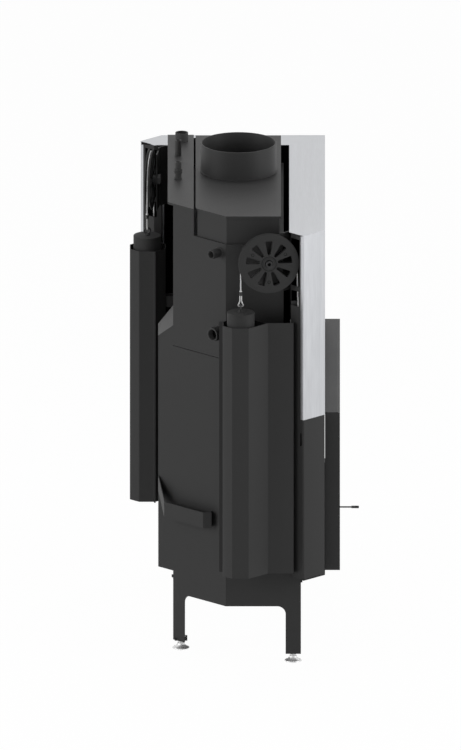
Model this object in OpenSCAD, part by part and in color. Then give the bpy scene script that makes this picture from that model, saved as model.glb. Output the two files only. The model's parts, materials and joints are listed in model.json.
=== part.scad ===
// Water jacket fireplace insert for a corner, with an L-shaped door that lifts on two counterweights.
// The drawing origin is the glass corner at floor level: x falls towards the free end of the
// long front, y grows towards the back. The placed() module moves it to the middle of the base.

/* [Body] */
// Length of the body from the corner to its end wall
body_len = 906; // [880:1:960]
// Depth of the body from the front plane to its back wall
body_depth = 407; // [395:1:440]
// Leg of the 45 degree cut at the back corner
corner_cut = 141; // [125:1:150]
// Thickness of the body's steel plates
plate_t = 4; // [3:0.5:4]
// Height of the joint between the lower casing and the water jacket
seam_z = 845.5; // [835:0.5:860]
// Width of that joint
seam_gap = 1.5; // [0.5:0.5:3]
// Setback of the water jacket from the two front planes
jacket_set = 111; // [110:1:114]
// Height of the water jacket's rim, where the hood starts
jacket_top_z = 1166.6; // [1155:0.1:1175]

/* [Stand] */
// Height of the legs' lower ends
leg_z = 25.5; // [22:0.5:30]
// Height of the arches between the legs
arch_z = 158; // [140:1:170]
// Radius of the arches' corners
arch_r = 22; // [10:1:30]
// Width of a leg
leg_w = 41; // [36:1:50]
// Setback of the stand from the two front planes
stand_set = 64.6; // [64:0.2:66]
// Diameter of a foot's disc
foot_d = 46; // [40:1:52]
// Diameter of a foot's spindle
spindle_d = 16; // [12:1:20]

/* [Surround] */
// Height of the surround's lower edge
surround_z = 250.6; // [245:0.1:255]
// Height of the surround's frame
surround_h = 440; // [436:1:442]
// How far the surround stands proud of the front planes
surround_proud = 40; // [30:1:50]
// Length of the surround's front arm beside the corner
surround_len = 876; // [860:1:880]
// Length of the surround's side arm beside the corner
surround_side_len = 390; // [375:1:394]
// Height of the surround's lower bar
sill_bar_h = 49; // [45:1:52]
// Height of the surround's upper bar
head_bar_h = 26; // [20:1:26]
// Width of the surround's end posts
post_w = 20; // [14:1:24]

/* [Housing] */
// Height of the brushed housing's lower edge
housing_z = 698; // [697:0.5:702]
// Height of the brushed housing's top
housing_top_z = 1212; // [1205:1:1216]
// Depth of the housing's arms
housing_w = 96; // [96:0.5:98]
// Width of the 45 degree cut at the arms' ends
end_cut = 57.5; // [55:0.5:58]
// Thickness of the housing's sheets
sheet_t = 1.5; // [1:0.1:1.5]
// Distance of the front arm's tip beyond the body's end wall
front_over = 75; // [74:0.5:76]
// Distance of the side arm's tip beyond the body's back wall
side_over = 88; // [86:0.5:89]

/* [Top] */
// Height of the hood's top
hood_z = 1245; // [1240:1:1255]
// Setback of the hood from the two front planes
hood_set = 118; // [116:1:122]
// Height of the cover plate's top
cover_z = 1245; // [1234:1:1248]
// Thickness of hood and cover plate
top_t = 6; // [5:0.5:7]
// Distance of the hood's back edge from the body's back wall
riser_deep = 60.2; // [56:0.2:66]
// Gap between hood and cover plate
top_gap = 5; // [3:0.5:8]
// Overhang of the cover plate
cover_over = 14.6; // [10:0.2:18]
// Outside diameter of the flue collar
flue_d = 203; // [180:1:203]
// Wall of the flue collar
flue_wall = 4; // [2:0.5:6]
// Height of the flue collar
flue_h = 80; // [50:1:100]
// Distance of the flue from the corner, along the front
flue_along = 464.4; // [440:0.2:500]
// Distance of the flue from the front plane
flue_back = 231.8; // [228:0.2:236]

/* [Lift gear] */
// Travel of the door
door_travel = 430; // [380:5:430]
// Height of the pulleys' axles
pulley_z = 1132; // [1125:0.5:1136]
// Diameter of a pulley's flanges
pulley_d = 163; // [162:1:163]
// Radius at which the rope's middle runs
rope_run_r = 75.6; // [75:0.1:76]
// Diameter of the rope
rope_d = 4; // [3:0.5:4]
// Width of a pulley
pulley_w = 14; // [12:0.5:14]
// Turn of the pulleys against the arms, in degrees
pulley_turn = 6.5; // [5:0.5:7]
// Number of slots in a pulley
slot_count = 9; // [6:1:10]
// Diameter of a counterweight
weight_d = 74; // [60:1:76]
// Length of a counterweight
weight_len = 285; // [250:1:290]
// Height of the counterweights' tops at rest
weight_top_z = 998.6; // [985:0.1:1000]
// Height of the counterweight casings' lower edge
shaft_z = 268; // [262:1:275]
// Height of the counterweight casings' rim
shaft_top_z = 965.6; // [955:0.1:970]
// Distance of the casings' outer faces from the body
shaft_out = 116; // [115:0.5:118]

/* [Water] */
// Bore of the return socket
return_bore_d = 28.6; // [26:0.1:30]
// Bore of the vent socket
vent_bore_d = 18.6; // [16:0.1:20]
// Bore of the flow pipe
flow_bore_d = 28.6; // [26:0.1:30]
// Diameter of the cooling loop's pipe
loop_d = 17.2; // [15:0.1:17.4]
// Bore of the cooling loop's pipe
loop_bore_d = 12.6; // [10:0.1:13]
// Outside diameter of a smoke tube
tube_d = 60; // [48:1:62]

/* [Hidden] */
$fn = 48;
root2 = sqrt(2);
// Overrun of every cut past the faces that it opens
over = 1;
// Clearance between a part that moves and what it passes
slip = 0.3;
front_tip = body_len + front_over;
side_tip = body_depth + side_over;
// Sum of distances along and back on the 45 degree wall
cut_sum = body_len + body_depth - corner_cut;
lever_reach = 91;

// Direction helpers for folded sheets
function unit(v) = v / norm(v);
function right(v) = [v[1], -v[0]];
function face_normal(p, i) = right(unit(p[i + 1] - p[i]));
function inset_point(p, i, d) =
  i == 0 ? p[0] + d * face_normal(p, 0)
  : i == len(p) - 1 ? p[i] + d * face_normal(p, i - 1)
  : let (a = face_normal(p, i - 1), b = face_normal(p, i)) p[i] + d * (a + b) / (1 + a * b);
function inset_path(p, d) = [for (i = [0 : len(p) - 1]) inset_point(p, i, d)];
function backwards(p) = [for (i = [len(p) - 1 : -1 : 0]) p[i]];
// Points on an arc about a centre
function arc(c, r, a0, a1, n) =
  [for (i = [0 : n]) let (a = a0 + (a1 - a0) * i / n) c + r * [cos(a), sin(a)]];

// A sheet folded along a path, between two depths to the right of it
module folded(path, from, to, z0, z1) {
  translate([0, 0, z0])
    linear_extrude(z1 - z0)
      polygon(concat(inset_path(path, from), backwards(inset_path(path, to))));
}

// A box given by its two corners
module block(low, high) {
  translate(low)
    cube(high - low);
}

// Moves the drawing origin to the middle of the base
module placed() {
  translate([(body_len + shaft_out - surround_proud) / 2, (lever_reach - body_depth - shaft_out) / 2, 0])
    children();
}

// Frames of the two arm ends: x runs from the tip towards the corner, y into the insert
module near_end() {
  translate([-front_tip, 0, 0])
    children();
}
module far_end() {
  translate([0, side_tip, 0])
    mirror([1, 1, 0])
      children();
}

// Outline of the body, set back from the front planes and inset from its walls
function outline(set, inset, back = body_depth) =
  let (n = body_len - inset, b = back - inset, k = cut_sum - inset * root2)
  [[-n, set], [-n, k - n], [b - k, b], [-set, b], [-set, set]];
// The wall path from the front of the end wall round to the far end of the back wall
function wall_path(set, far) =
  [[-body_len, set], [-body_len, cut_sum - body_len], [body_depth - cut_sum, body_depth],
    [-far, body_depth]];

// An L-shaped band along both arms, between two depths
module band(w0, w1, near_len, far_len, z0, z1) {
  translate([0, 0, z0])
    linear_extrude(z1 - z0)
      polygon([[-near_len, w0], [-w0, w0], [-w0, far_len], [-w1, far_len], [-w1, w1], [-near_len, w1]]);
}

// Colours of the finishes
charcoal = [0.22, 0.22, 0.23];
soot = [0.09, 0.09, 0.1];
bright = [0.83, 0.84, 0.86];
fireclay = [0.83, 0.78, 0.66];
iron = [0.16, 0.16, 0.17];

// Lower casing with the stand
upper_wall_z = 697;

module arch(length, both_ends) {
  // Lies along x from 0, opens downwards, cuts through y
  side = both_ends ? arch_r : 0;
  translate([0, plate_t * 3, 0])
    rotate([90, 0, 0])
      linear_extrude(plate_t * 6) {
        translate([0, leg_z - over])
          square([length, arch_z - arch_r - leg_z + over]);
        translate([arch_r, arch_z - arch_r * 2])
          square([length - arch_r - side, arch_r * 2]);
        translate([arch_r, arch_z - arch_r])
          circle(arch_r);
        if (both_ends)
          translate([length - arch_r, arch_z - arch_r])
            circle(arch_r);
      }
}

module lower_casing() color(charcoal) placed() {
  cut_len = corner_cut * root2;
  difference() {
    translate([0, 0, leg_z])
      linear_extrude(surround_z - leg_z)
        difference() {
          polygon(outline(stand_set, 0));
          polygon(outline(stand_set + plate_t, plate_t));
        }
    translate([-body_len, stand_set + leg_w, 0])
      rotate([0, 0, 90])
        arch(body_depth - corner_cut - stand_set, false);
    translate([body_depth - cut_sum, body_depth, 0])
      rotate([0, 0, 225])
        translate([leg_w, 0, 0])
          arch(cut_len - leg_w + over, false);
    translate([body_depth - cut_sum + leg_w, body_depth, 0])
      arch(cut_sum - body_depth - stand_set - leg_w * 2, true);
    translate([-body_len + leg_w, stand_set, 0])
      arch(body_len - stand_set - leg_w * 2, true);
    translate([-stand_set, stand_set + leg_w, 0])
      rotate([0, 0, 90])
        arch(body_depth - stand_set - leg_w * 2, true);
  }
  folded(wall_path(stand_set, stand_set), 0, plate_t, surround_z, upper_wall_z);
  translate([0, 0, upper_wall_z])
    linear_extrude(seam_z - seam_gap - upper_wall_z)
      difference() {
        polygon(outline(jacket_set, 0));
        polygon(outline(jacket_set + plate_t, plate_t));
      }
  // Foot plates inside the legs' lower ends
  for (p = foot_places)
    translate([p[0], p[1], leg_z])
      difference() {
        translate([-foot_plate_w / 2, -foot_plate_w / 2, 0])
          cube([foot_plate_w, foot_plate_w, foot_plate_t]);
        translate([0, 0, -over])
          cylinder(d = spindle_d + slip, h = foot_plate_t + over * 2);
      }
}

// Feet
foot_plate_w = 34;
foot_plate_t = 6;
foot_inset = foot_plate_w / 2 + plate_t;
foot_places = [
  [-body_len + foot_inset, stand_set + foot_inset],
  [body_depth - cut_sum + plate_t, body_depth - foot_inset],
  [-stand_set - foot_inset, stand_set + foot_inset],
  [-stand_set - foot_inset, body_depth - foot_inset]];
disc_h = 4;
cone_h = 10;
spindle_h = 62;
nut_across_share = 1.5;
nut_h = 8;

module levelling_feet() color(bright) placed() {
  cone_top_r = spindle_d / 2 + slip * 2;
  for (p = foot_places)
    translate([p[0], p[1], 0]) {
      rotate_extrude()
        polygon([[0, 0], [foot_d / 2 - disc_h / 2, 0], [foot_d / 2, disc_h / 2],
          [foot_d / 2 - disc_h / 4, disc_h],
          [foot_d / 2 - disc_h, disc_h + slip], [cone_top_r + disc_h, disc_h + slip * 2],
            [cone_top_r, disc_h + cone_h],
          [spindle_d / 2, disc_h + cone_h], [spindle_d / 2, spindle_h], [0, spindle_h]]);
      translate([0, 0, leg_z + foot_plate_t])
        difference() {
          cylinder(d = spindle_d * nut_across_share, h = nut_h, $fn = 6);
          translate([0, 0, -over])
            cylinder(d = spindle_d, h = nut_h + over * 2);
        }
    }
}

// Sill plate under the door, with the strip that closes the stand in front
sill_t = 2.4;
sill_z = surround_z;
sill_top_z = sill_z + sill_t;

module sill_plate() color(charcoal) placed()
  translate([0, 0, sill_z])
    linear_extrude(sill_t)
      polygon([[0, 0], [end_cut - front_tip, 0], [-front_tip, end_cut],
        [stand_set - end_cut - front_tip, stand_set],
        [-stand_set, stand_set], [-stand_set, side_tip + stand_set - end_cut], [-end_cut, side_tip],
        [0, side_tip - end_cut]]);

// Hearth plate with the hole for the ash pan
hearth_t = 6;
pan_len = 200;
pan_w = 118;
pan_from_end = 346;
pan_from_back = 107;
pan_near = body_len - pan_from_end;
pan_far = pan_near - pan_len;
pan_back = body_depth - pan_from_back;
pan_front = pan_back - pan_w;

module hearth_plate() color(iron) placed()
  translate([0, 0, surround_z])
    difference() {
      linear_extrude(hearth_t)
        polygon(outline(stand_set + slip, plate_t + slip));
      block([-pan_near, pan_front, -over], [-pan_far, pan_back, hearth_t + over]);
    }
hearth_top_z = surround_z + hearth_t;

// Inner chamber, inset from the casing by an air gap
air_gap = 26;
shell_in = air_gap + plate_t;

module firebox_shell() color(soot) placed() {
  high_set = jacket_set + plate_t;
  folded(wall_path(stand_set, stand_set), shell_in, shell_in + plate_t, hearth_top_z, upper_wall_z);
  folded(wall_path(high_set, high_set), shell_in, shell_in + plate_t, upper_wall_z, seam_z - seam_gap);
}

// Frame round the door opening, with the throat above it
frame_w0 = 52;
frame_t = 4;
frame_w1 = frame_w0 + frame_t;
frame_low_h = 50;
frame_head_h = 28;
frame_post = 35;
// The head ends just under the throat, which is a plate of its own
head_z = upper_wall_z - slip;
throat_t = 3;
inlet_w = 11;
inlet_h = 10;
inlet_pitch = 44;
// Places of the air inlets on both sides of the lever, in pitches
inlet_steps = [-2, -1, 1, 2];
lever_along = 323;
lever_z = 268;
lever_slot_h = 8;
lever_travel = 10;
shutter_h = 20;

module door_opening_frame() color(charcoal) placed() {
  near_len = body_len;
  far_len = body_depth;
  difference() {
    union() {
      band(frame_w0, frame_w1, near_len, far_len, sill_top_z, sill_top_z + frame_low_h);
      band(frame_w0, frame_w1, near_len, far_len, head_z - frame_head_h, head_z);
      block([-near_len, frame_w0, sill_top_z], [frame_post - near_len, frame_w1, head_z]);
      block([-frame_w1, far_len - frame_post, sill_top_z], [-frame_w0, far_len, head_z]);
    }
    for (step = inlet_steps)
      translate([step * inlet_pitch - lever_along - inlet_w / 2, frame_w0 - over, lever_z - inlet_h / 2])
        cube([inlet_w, frame_t + over * 2, inlet_h]);
    translate([-lever_along - lever_travel - lever_slot_h / 2, frame_w0 - over, lever_z - lever_slot_h / 2])
      cube([lever_travel * 2 + lever_slot_h, frame_t + over * 2, lever_slot_h]);
  }
  band(frame_w0, jacket_set, body_len, body_depth, upper_wall_z, upper_wall_z + throat_t);
  // Cheeks that join the frame's posts to the casing
  block([-near_len, frame_w0, sill_top_z], [plate_t - near_len, stand_set, head_z]);
  block([-stand_set, far_len - plate_t, sill_top_z], [frame_t - frame_w1, far_len, head_z]);
}

// Fireclay slabs inside the chamber
slab_t = 25;
slab_top_z = 690;
slab_joint = 1;
slab_out = shell_in + plate_t;

module end_slabs() color(fireclay) placed() {
  path = wall_path(stand_set + slab_joint, stand_set);
  inner = inset_path(path, slab_out + slab_t);
  outer = inset_path(path, slab_out);
  z0 = floor_top_z;
  translate([0, 0, z0])
    linear_extrude(slab_top_z - z0) {
      polygon([outer[0], outer[1], inner[1], inner[0]]);
      polygon([outer[1] + [slab_joint, slab_joint] / root2, outer[2], inner[2],
        inner[1] + [slab_joint, slab_joint] / root2]);
    }
}

module back_slab() color(fireclay) placed() {
  path = wall_path(stand_set + slab_joint, stand_set + slab_joint);
  inner = inset_path(path, slab_out + slab_t);
  outer = inset_path(path, slab_out);
  translate([0, 0, floor_top_z])
    linear_extrude(slab_top_z - floor_top_z)
      polygon([outer[2] + [slab_joint, 0], outer[3], inner[3], inner[2] + [slab_joint, 0]]);
}

// Floor slab with the grate's recess
floor_t = 25;
floor_z = hearth_top_z;
floor_top_z = floor_z + floor_t;
grate_rim = 10;
grate_play = 1;

module floor_slab() color(fireclay) placed()
  translate([0, 0, floor_z])
    difference() {
      linear_extrude(floor_t)
        polygon(outline(stand_set + slab_joint, slab_out));
      block([-pan_near - grate_rim, pan_front - grate_rim, -over],
        [-pan_far + grate_rim, pan_back + grate_rim, floor_t + over]);
    }

// Cast iron grate
grate_t = 14;
bar_gap = 8;
bar_pitch = 20;
bar_end = 16;

module grate() color(iron) placed() {
  low = [-pan_near - grate_rim + grate_play, pan_front - grate_rim + grate_play, pan_rim_top_z];
  high = [-pan_far + grate_rim - grate_play, pan_back + grate_rim - grate_play, pan_rim_top_z + grate_t];
  length = high[0] - low[0];
  count = floor((length - bar_end * 2) / bar_pitch);
  difference() {
    block(low, high);
    for (i = [0 : count - 1])
      block([low[0] + bar_end + i * bar_pitch, low[1] + bar_end, low[2] - over],
        [low[0] + bar_end + i * bar_pitch + bar_gap, high[1] - bar_end, high[2] + over]);
  }
}

// Ash pan hanging in the hearth plate
pan_play = 1;
pan_wall = 1.5;
pan_deep = 52;
pan_rim_top_z = hearth_top_z + pan_wall;

module ash_pan() color([0.3, 0.3, 0.32]) placed() {
  x0 = -pan_near + pan_play;
  x1 = -pan_far - pan_play;
  y0 = pan_front + pan_play;
  y1 = pan_back - pan_play;
  z0 = hearth_top_z - pan_deep;
  difference() {
    union() {
      block([x0, y0, z0], [x1, y1, pan_rim_top_z]);
      block([x0 - grate_rim / 2, y0 - grate_rim / 2, hearth_top_z],
        [x1 + grate_rim / 2, y1 + grate_rim / 2, pan_rim_top_z]);
    }
    block([x0 + pan_wall, y0 + pan_wall, z0 + pan_wall],
      [x1 - pan_wall, y1 - pan_wall, pan_rim_top_z + over]);
  }
}

// Smoke baffle on the slabs
baffle_t = 25;
baffle_side = 76;
baffle_front = body_depth - corner_cut - baffle_side;
baffle_far = 170;

module smoke_baffle() color(fireclay) placed() {
  o = outline(baffle_front, slab_out + slab_joint);
  translate([0, 0, slab_top_z])
    linear_extrude(baffle_t)
      polygon([o[0], o[1], o[2], [-baffle_far, o[3][1]], [-baffle_far, baffle_front]]);
}

// Water jacket
hood_back = body_depth - riser_deep;
riser_front = hood_back + top_gap;
return_z = 918;
return_off = 13.3;
return_back = body_depth - corner_cut + return_off;
vent_z = 1140;
vent_off = 16.7;
vent_back = body_depth - corner_cut + vent_off;
socket_len = 33;
socket_wall = 4.7;
vent_wall = 3.2;

module on_cut_wall(back, z) {
  translate([back - cut_sum, back, z])
    rotate([0, 0, 135])
      rotate([0, 90, 0])
        children();
}

module water_jacket() color(charcoal) placed() {
  difference() {
    translate([0, 0, seam_z])
      linear_extrude(jacket_top_z - seam_z)
        difference() {
          polygon(outline(jacket_set, 0));
          polygon(outline(jacket_set + plate_t, plate_t));
        }
    on_cut_wall(return_back, return_z)
      translate([0, 0, -plate_t * 2])
        cylinder(d = return_bore_d, h = plate_t * 3);
    on_cut_wall(vent_back, vent_z)
      translate([0, 0, -plate_t * 2])
        cylinder(d = vent_bore_d, h = plate_t * 3);
  }
  // Riser behind the hood, up to the cover plate
  translate([0, 0, jacket_top_z])
    linear_extrude(cover_z - top_t - jacket_top_z)
      difference() {
        riser_plan(0);
        riser_plan(plate_t);
      }
  // Wall of the riser down to the upper tube plate, and the rim that carries the hood
  translate([0, 0, tube_high_z])
    linear_extrude(jacket_top_z - tube_high_z)
      intersection() {
        polygon(outline(jacket_set + plate_t, plate_t));
        translate([-body_len, riser_front])
          square([body_len, plate_t]);
      }
  translate([0, 0, jacket_top_z - plate_t])
    linear_extrude(plate_t)
      intersection() {
        difference() {
          polygon(outline(jacket_set + plate_t, plate_t));
          polygon(outline(jacket_set + plate_t + rim_w, plate_t + rim_w));
        }
        translate([-body_len, 0])
          square([body_len, riser_front]);
      }
}
// Width of the rim inside the jacket's wall
rim_w = 12;
module riser_plan(inset) {
  o = outline(jacket_set + inset, inset);
  front = riser_front + inset;
  polygon([[front - cut_sum + inset * root2, front], o[2], o[3], [o[3][0], front]]);
}

// Tube plates
tube_row_from_back = 145;
tube_row_step = 94;
tube_clear = 8;
// As many rows as the jacket's depth holds
tube_last_row = floor((body_depth - tube_row_from_back - jacket_set - plate_t - tube_clear - tube_d / 2)
  / tube_row_step);
tube_rows = [for (i = [0 : tube_last_row]) body_depth - tube_row_from_back - i * tube_row_step];
tube_from_corner = 180;
tube_from_end = 82;
tube_count = 8;
tube_pitch = (body_len - tube_from_corner - tube_from_end) / (tube_count - 1);
tube_wall = 3;
tube_low_z = seam_z + plate_t;
tube_high_z = jacket_top_z - plate_t * 3;

module tube_plates() color(iron) placed()
  for (z = [tube_low_z, tube_high_z])
    translate([0, 0, z])
      difference() {
        linear_extrude(plate_t)
          intersection() {
            polygon(outline(jacket_set + plate_t, plate_t));
            translate([-body_len, 0])
              square([body_len, z == tube_low_z ? body_depth : riser_front]);
          }
        for (i = [0 : tube_count - 1], row = tube_rows)
          translate([-tube_from_corner - i * tube_pitch, row, -over])
            cylinder(d = tube_d - tube_wall * 2, h = plate_t + over * 2);
      }

module smoke_tubes() color(iron) placed()
  for (i = [0 : tube_count - 1], row = tube_rows)
    translate([-tube_from_corner - i * tube_pitch, row, tube_low_z + plate_t])
      difference() {
        cylinder(d = tube_d, h = tube_high_z - tube_low_z - plate_t);
        translate([0, 0, -over])
          cylinder(d = tube_d - tube_wall * 2, h = tube_high_z - tube_low_z + over);
      }

// Hood with the hole under the flue collar
hood_in = 5;
hood_wall = 3;

module hood() color(charcoal) placed() {
  difference() {
    translate([0, 0, hood_z - top_t])
      linear_extrude(top_t)
        polygon(hood_plan(0));
    translate([-flue_along, flue_back, hood_z - top_t - over])
      cylinder(d = flue_d - flue_wall * 2, h = top_t + over * 2, $fn = 96);
  }
  translate([0, 0, jacket_top_z])
    linear_extrude(hood_z - top_t - jacket_top_z)
      difference() {
        polygon(hood_plan(hood_in));
        polygon(hood_plan(hood_in + hood_wall));
      }
}
function hood_plan(inset) =
  let (o = outline(hood_set + inset, inset), back = hood_back - inset)
  [o[0], o[1], [back - cut_sum + inset * root2, back], [-hood_set - inset, back],
    [-hood_set - inset, hood_set + inset]];

// Cover plate over the riser
flow_along = 171;
flow_in = 23;
flow_back = body_depth - flow_in;
flow_wall = 3;
flow_up = 24;
flow_down = 26;

module cover_plate() color(charcoal) placed()
  translate([0, 0, cover_z - top_t])
    difference() {
      linear_extrude(top_t)
        polygon([[riser_front - cut_sum - cover_over, riser_front],
          [body_depth - cut_sum, body_depth + cover_over],
          [-jacket_set, body_depth + cover_over], [-jacket_set, riser_front]]);
      translate([-flow_along, flow_back, -over])
        cylinder(d = flow_bore_d + flow_wall * 2, h = top_t + over * 2);
      for (along = [loop_near, loop_far])
        translate([-along, loop_back, -over])
          cylinder(d = loop_d, h = top_t + over * 2);
    }

// Flue collar
flue_ring_w = 1.5;
flue_ring_h = 4;

module flue_collar() color(charcoal) placed()
  translate([-flue_along, flue_back, hood_z])
    rotate_extrude($fn = 96)
      polygon([[flue_d / 2 - flue_wall, 0], [flue_d / 2 + flue_ring_w, 0],
        [flue_d / 2 + flue_ring_w, flue_ring_h],
        [flue_d / 2, flue_ring_h], [flue_d / 2, flue_h - flue_ring_w], [flue_d / 2 - flue_ring_w, flue_h],
        [flue_d / 2 - flue_wall, flue_h]]);

// Sockets and pipes
module socket(bore, wall, length) {
  difference() {
    cylinder(d = bore + wall * 2, h = length);
    translate([0, 0, -over])
      cylinder(d = bore, h = length + over * 2);
  }
}

module return_socket() color(charcoal) placed()
  on_cut_wall(return_back, return_z)
    socket(return_bore_d, socket_wall, socket_len);

module vent_socket() color(charcoal) placed()
  on_cut_wall(vent_back, vent_z)
    socket(vent_bore_d, vent_wall, socket_len);

module flow_pipe() color(charcoal) placed()
  translate([-flow_along, flow_back, cover_z - flow_down])
    socket(flow_bore_d, flow_wall, flow_down + flow_up);

// Cooling loop in the riser, with two ends above the cover plate
loop_far = 312;
loop_near = 540;
loop_in = 13.4;
loop_back = body_depth - loop_in;
loop_low_z = 960;
loop_bend = 30;
loop_far_up = 43;
loop_near_up = 47;
collar_h = 5;
collar_wide_share = 1.3;

module loop_plan()
  difference() {
    circle(d = loop_d);
    circle(d = loop_bore_d);
  }

module cooling_loop() color([0.35, 0.3, 0.28]) placed()
  translate([0, loop_back, 0]) {
    translate([-loop_far, 0, loop_low_z + loop_bend])
      linear_extrude(cover_z + loop_far_up - loop_low_z - loop_bend)
        loop_plan();
    translate([-loop_near, 0, loop_low_z + loop_bend])
      linear_extrude(cover_z + loop_near_up - loop_low_z - loop_bend)
        loop_plan();
    translate([-loop_near + loop_bend, 0, loop_low_z])
      rotate([0, 90, 0])
        linear_extrude(loop_near - loop_far - loop_bend * 2)
          loop_plan();
    loop_corner(-loop_far - loop_bend, 270);
    loop_corner(-loop_near + loop_bend, 180);
    // Nut and union rings at the near stub
    for (z = [cover_z, cover_z + loop_near_up / 3, cover_z + loop_near_up / 2])
      translate([-loop_near, 0, z])
        difference() {
          cylinder(d = loop_d * collar_wide_share, h = collar_h, $fn = z == cover_z ? 6 : 48);
          translate([0, 0, -over])
            cylinder(d = loop_d, h = collar_h + over * 2);
        }
  }
module loop_corner(x, start)
  translate([x, 0, loop_low_z + loop_bend])
    rotate([90, 0, 0])
      rotate([0, 0, start])
        rotate_extrude(angle = 90)
          translate([loop_bend, 0])
            loop_plan();

// Rear duct
duct_deep = 40;
duct_edge = 5;
duct_w = 194.3;
duct_near = body_len - corner_cut - duct_edge;
duct_far = duct_near - duct_w;
duct_z = 216;
duct_top_z = 860;
duct_t = 2;

function duct_path() =
  [[-duct_near, body_depth], [duct_deep - duct_near, body_depth + duct_deep],
    [-duct_far - duct_deep, body_depth + duct_deep], [-duct_far, body_depth]];

module rear_duct() color(charcoal) placed()
  difference() {
    union() {
      folded(duct_path(), 0, duct_t, duct_z, duct_top_z + duct_deep);
      // Sloping roof
      difference() {
        translate([0, 0, duct_top_z - duct_t * root2])
          linear_extrude(duct_deep + duct_t * root2)
            polygon(inset_path(duct_path(), duct_t / 2));
        mirror_slope();
      }
    }
    duct_slope(0);
    block([-duct_near - over, body_depth - duct_deep, duct_z - over],
      [over - duct_far, body_depth, duct_top_z + duct_deep * 2]);
  }
// Everything above the roof's plane
module duct_slope(down)
  translate([-duct_near - over, body_depth + duct_deep, duct_top_z - down])
    rotate([-45, 0, 0])
      translate([0, -duct_deep * 2, 0])
        cube([duct_near - duct_far + over * 2, duct_deep * 4, duct_deep * 3]);
// Everything below the roof's sheet
module mirror_slope()
  translate([-duct_near - over, body_depth + duct_deep, duct_top_z - duct_t * root2])
    rotate([-45, 0, 0])
      translate([0, -duct_deep * 3, -duct_deep * 3])
        cube([duct_near - duct_far + over * 2, duct_deep * 6, duct_deep * 3]);

// Air elbow: an open tray on the 45 degree wall that rises to the rear duct
elbow_z = 371;
elbow_top_z = 414;
elbow_proud = 30;
elbow_t = 2;
elbow_past_back = 23.7;
elbow_turn_in = 80;
elbow_end_in = 102.8;
elbow_left = body_depth + elbow_past_back;
elbow_right = body_depth - elbow_turn_in;
elbow_end = body_depth - elbow_end_in;
elbow_rise = 56;

module air_elbow() color(charcoal) placed() {
  face = cut_sum + elbow_proud * root2;
  left = [elbow_left - face, elbow_left];
  turn = [elbow_right - face, elbow_right];
  last = [elbow_right - face, elbow_end];
  foot = [elbow_end - cut_sum, elbow_end];
  path = [foot, last, turn, left];
  folded(path, 0, elbow_t, elbow_z, elbow_top_z);
  // Floor of the tray
  translate([0, 0, elbow_z])
    linear_extrude(elbow_t)
      polygon([foot, last, turn, left, [body_depth - cut_sum, body_depth]]);
  // Rising cheek to the duct's corner
  top = duct_path()[1];
  hull() {
    translate([left[0] - elbow_t / 2, left[1] - elbow_t, elbow_z])
      cube([elbow_t, elbow_t, elbow_top_z - elbow_z]);
    translate([top[0] - elbow_t * 2, top[1] - elbow_t, elbow_z + elbow_rise])
      cube([elbow_t, elbow_t, elbow_top_z - elbow_z]);
  }
}

// Surround, two arms that meet in a mitre at the corner
lip_w = 8;
lip_drop = 2;
bar_t = 2;

module surround_arm(length) {
  // Along x from the corner to -length, proud towards -y
  top_z = surround_z + surround_h;
  p = surround_proud;
  difference() {
    translate([0, 0, surround_z])
      linear_extrude(surround_h)
        polygon([[-length, -p], [p, -p], [0, 0], [-length, 0]]);
    // Opening, past the mitre
    block([post_w - length, -p - over, surround_z + sill_bar_h], [p + over, over, top_z - head_bar_h]);
    // Hollow backs of the bars and the post
    block([bar_t - length, bar_t - p, surround_z + bar_t],
      [p + over, over, surround_z + sill_bar_h - bar_t]);
    block([bar_t - length, bar_t - p, top_z - head_bar_h + bar_t],
      [p + over, over, top_z - bar_t - lip_drop]);
    block([bar_t - length, bar_t - p, surround_z + bar_t],
      [post_w - bar_t - length, over, top_z - bar_t - lip_drop]);
    // Bevelled lip along the outer upper edge
    translate([-length - over, -p, top_z])
      rotate([90, 0, 90])
        linear_extrude(length + p + over * 2)
          polygon([[-over, -lip_drop], [0, -lip_drop], [lip_w, 0], [lip_w, over], [-over, over]]);
  }
}

module surround_front() color(charcoal) placed()
  difference() {
    surround_arm(surround_len);
    translate([-lever_along - lever_travel - lever_slot_h / 2, -surround_proud - over,
      lever_z - lever_slot_h / 2])
      cube([lever_travel * 2 + lever_slot_h, bar_t + over * 2, lever_slot_h]);
  }

module surround_side() color(charcoal) placed()
  mirror([1, 1, 0])
    surround_arm(surround_side_len);

// End columns, folded from sheet, with the windows for the pulley and the rope
column_t = 1.5;
column_w = 93.2;
column_in = 56.8;
window_w0 = 68;
window_z = 1066;
window_top_z = 1197;
rope_window_w0 = 70;
rope_window_z = 1010;
rope_window_h = 42;
window_deep = 44.8;
slot_w0 = 62;
slot_w = 4;
slot_z = 624;
slot_h = 35;
column_path = [[end_cut, 0], [0, end_cut], [column_w - end_cut, column_w], [column_in, column_w]];

module column() {
  difference() {
    folded(column_path, sheet_t, sheet_t + column_t, sill_top_z, housing_top_z - sheet_t);
    block([-over, window_w0, window_z], [window_deep, column_w, window_top_z]);
    block([-over, rope_window_w0, rope_window_z], [window_deep, column_w, rope_window_z + rope_window_h]);
    block([-over, slot_w0, slot_z], [window_deep / 2, slot_w0 + slot_w, slot_z + slot_h]);
    block([0, -over, 0], [end_cut + column_w, sheet_t, housing_top_z]);
  }
}

module near_column() color(charcoal) placed()
  near_end()
    column();

module far_column() color(charcoal) placed()
  far_end()
    column();

// Brushed housing
module housing_top(tip) {
  // Strip along x from the corner's mitre to the arm's tip
  translate([0, 0, housing_top_z - sheet_t])
    linear_extrude(sheet_t)
      polygon([[0, 0], [end_cut - tip, 0], [-tip, end_cut], [housing_w - end_cut - tip, housing_w],
        [-housing_w, housing_w]]);
}

module housing_front() color(bright) placed() {
  housing_top(front_tip);
  block([end_cut - front_tip, 0, housing_z], [0, sheet_t, housing_top_z - sheet_t]);
}

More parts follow.
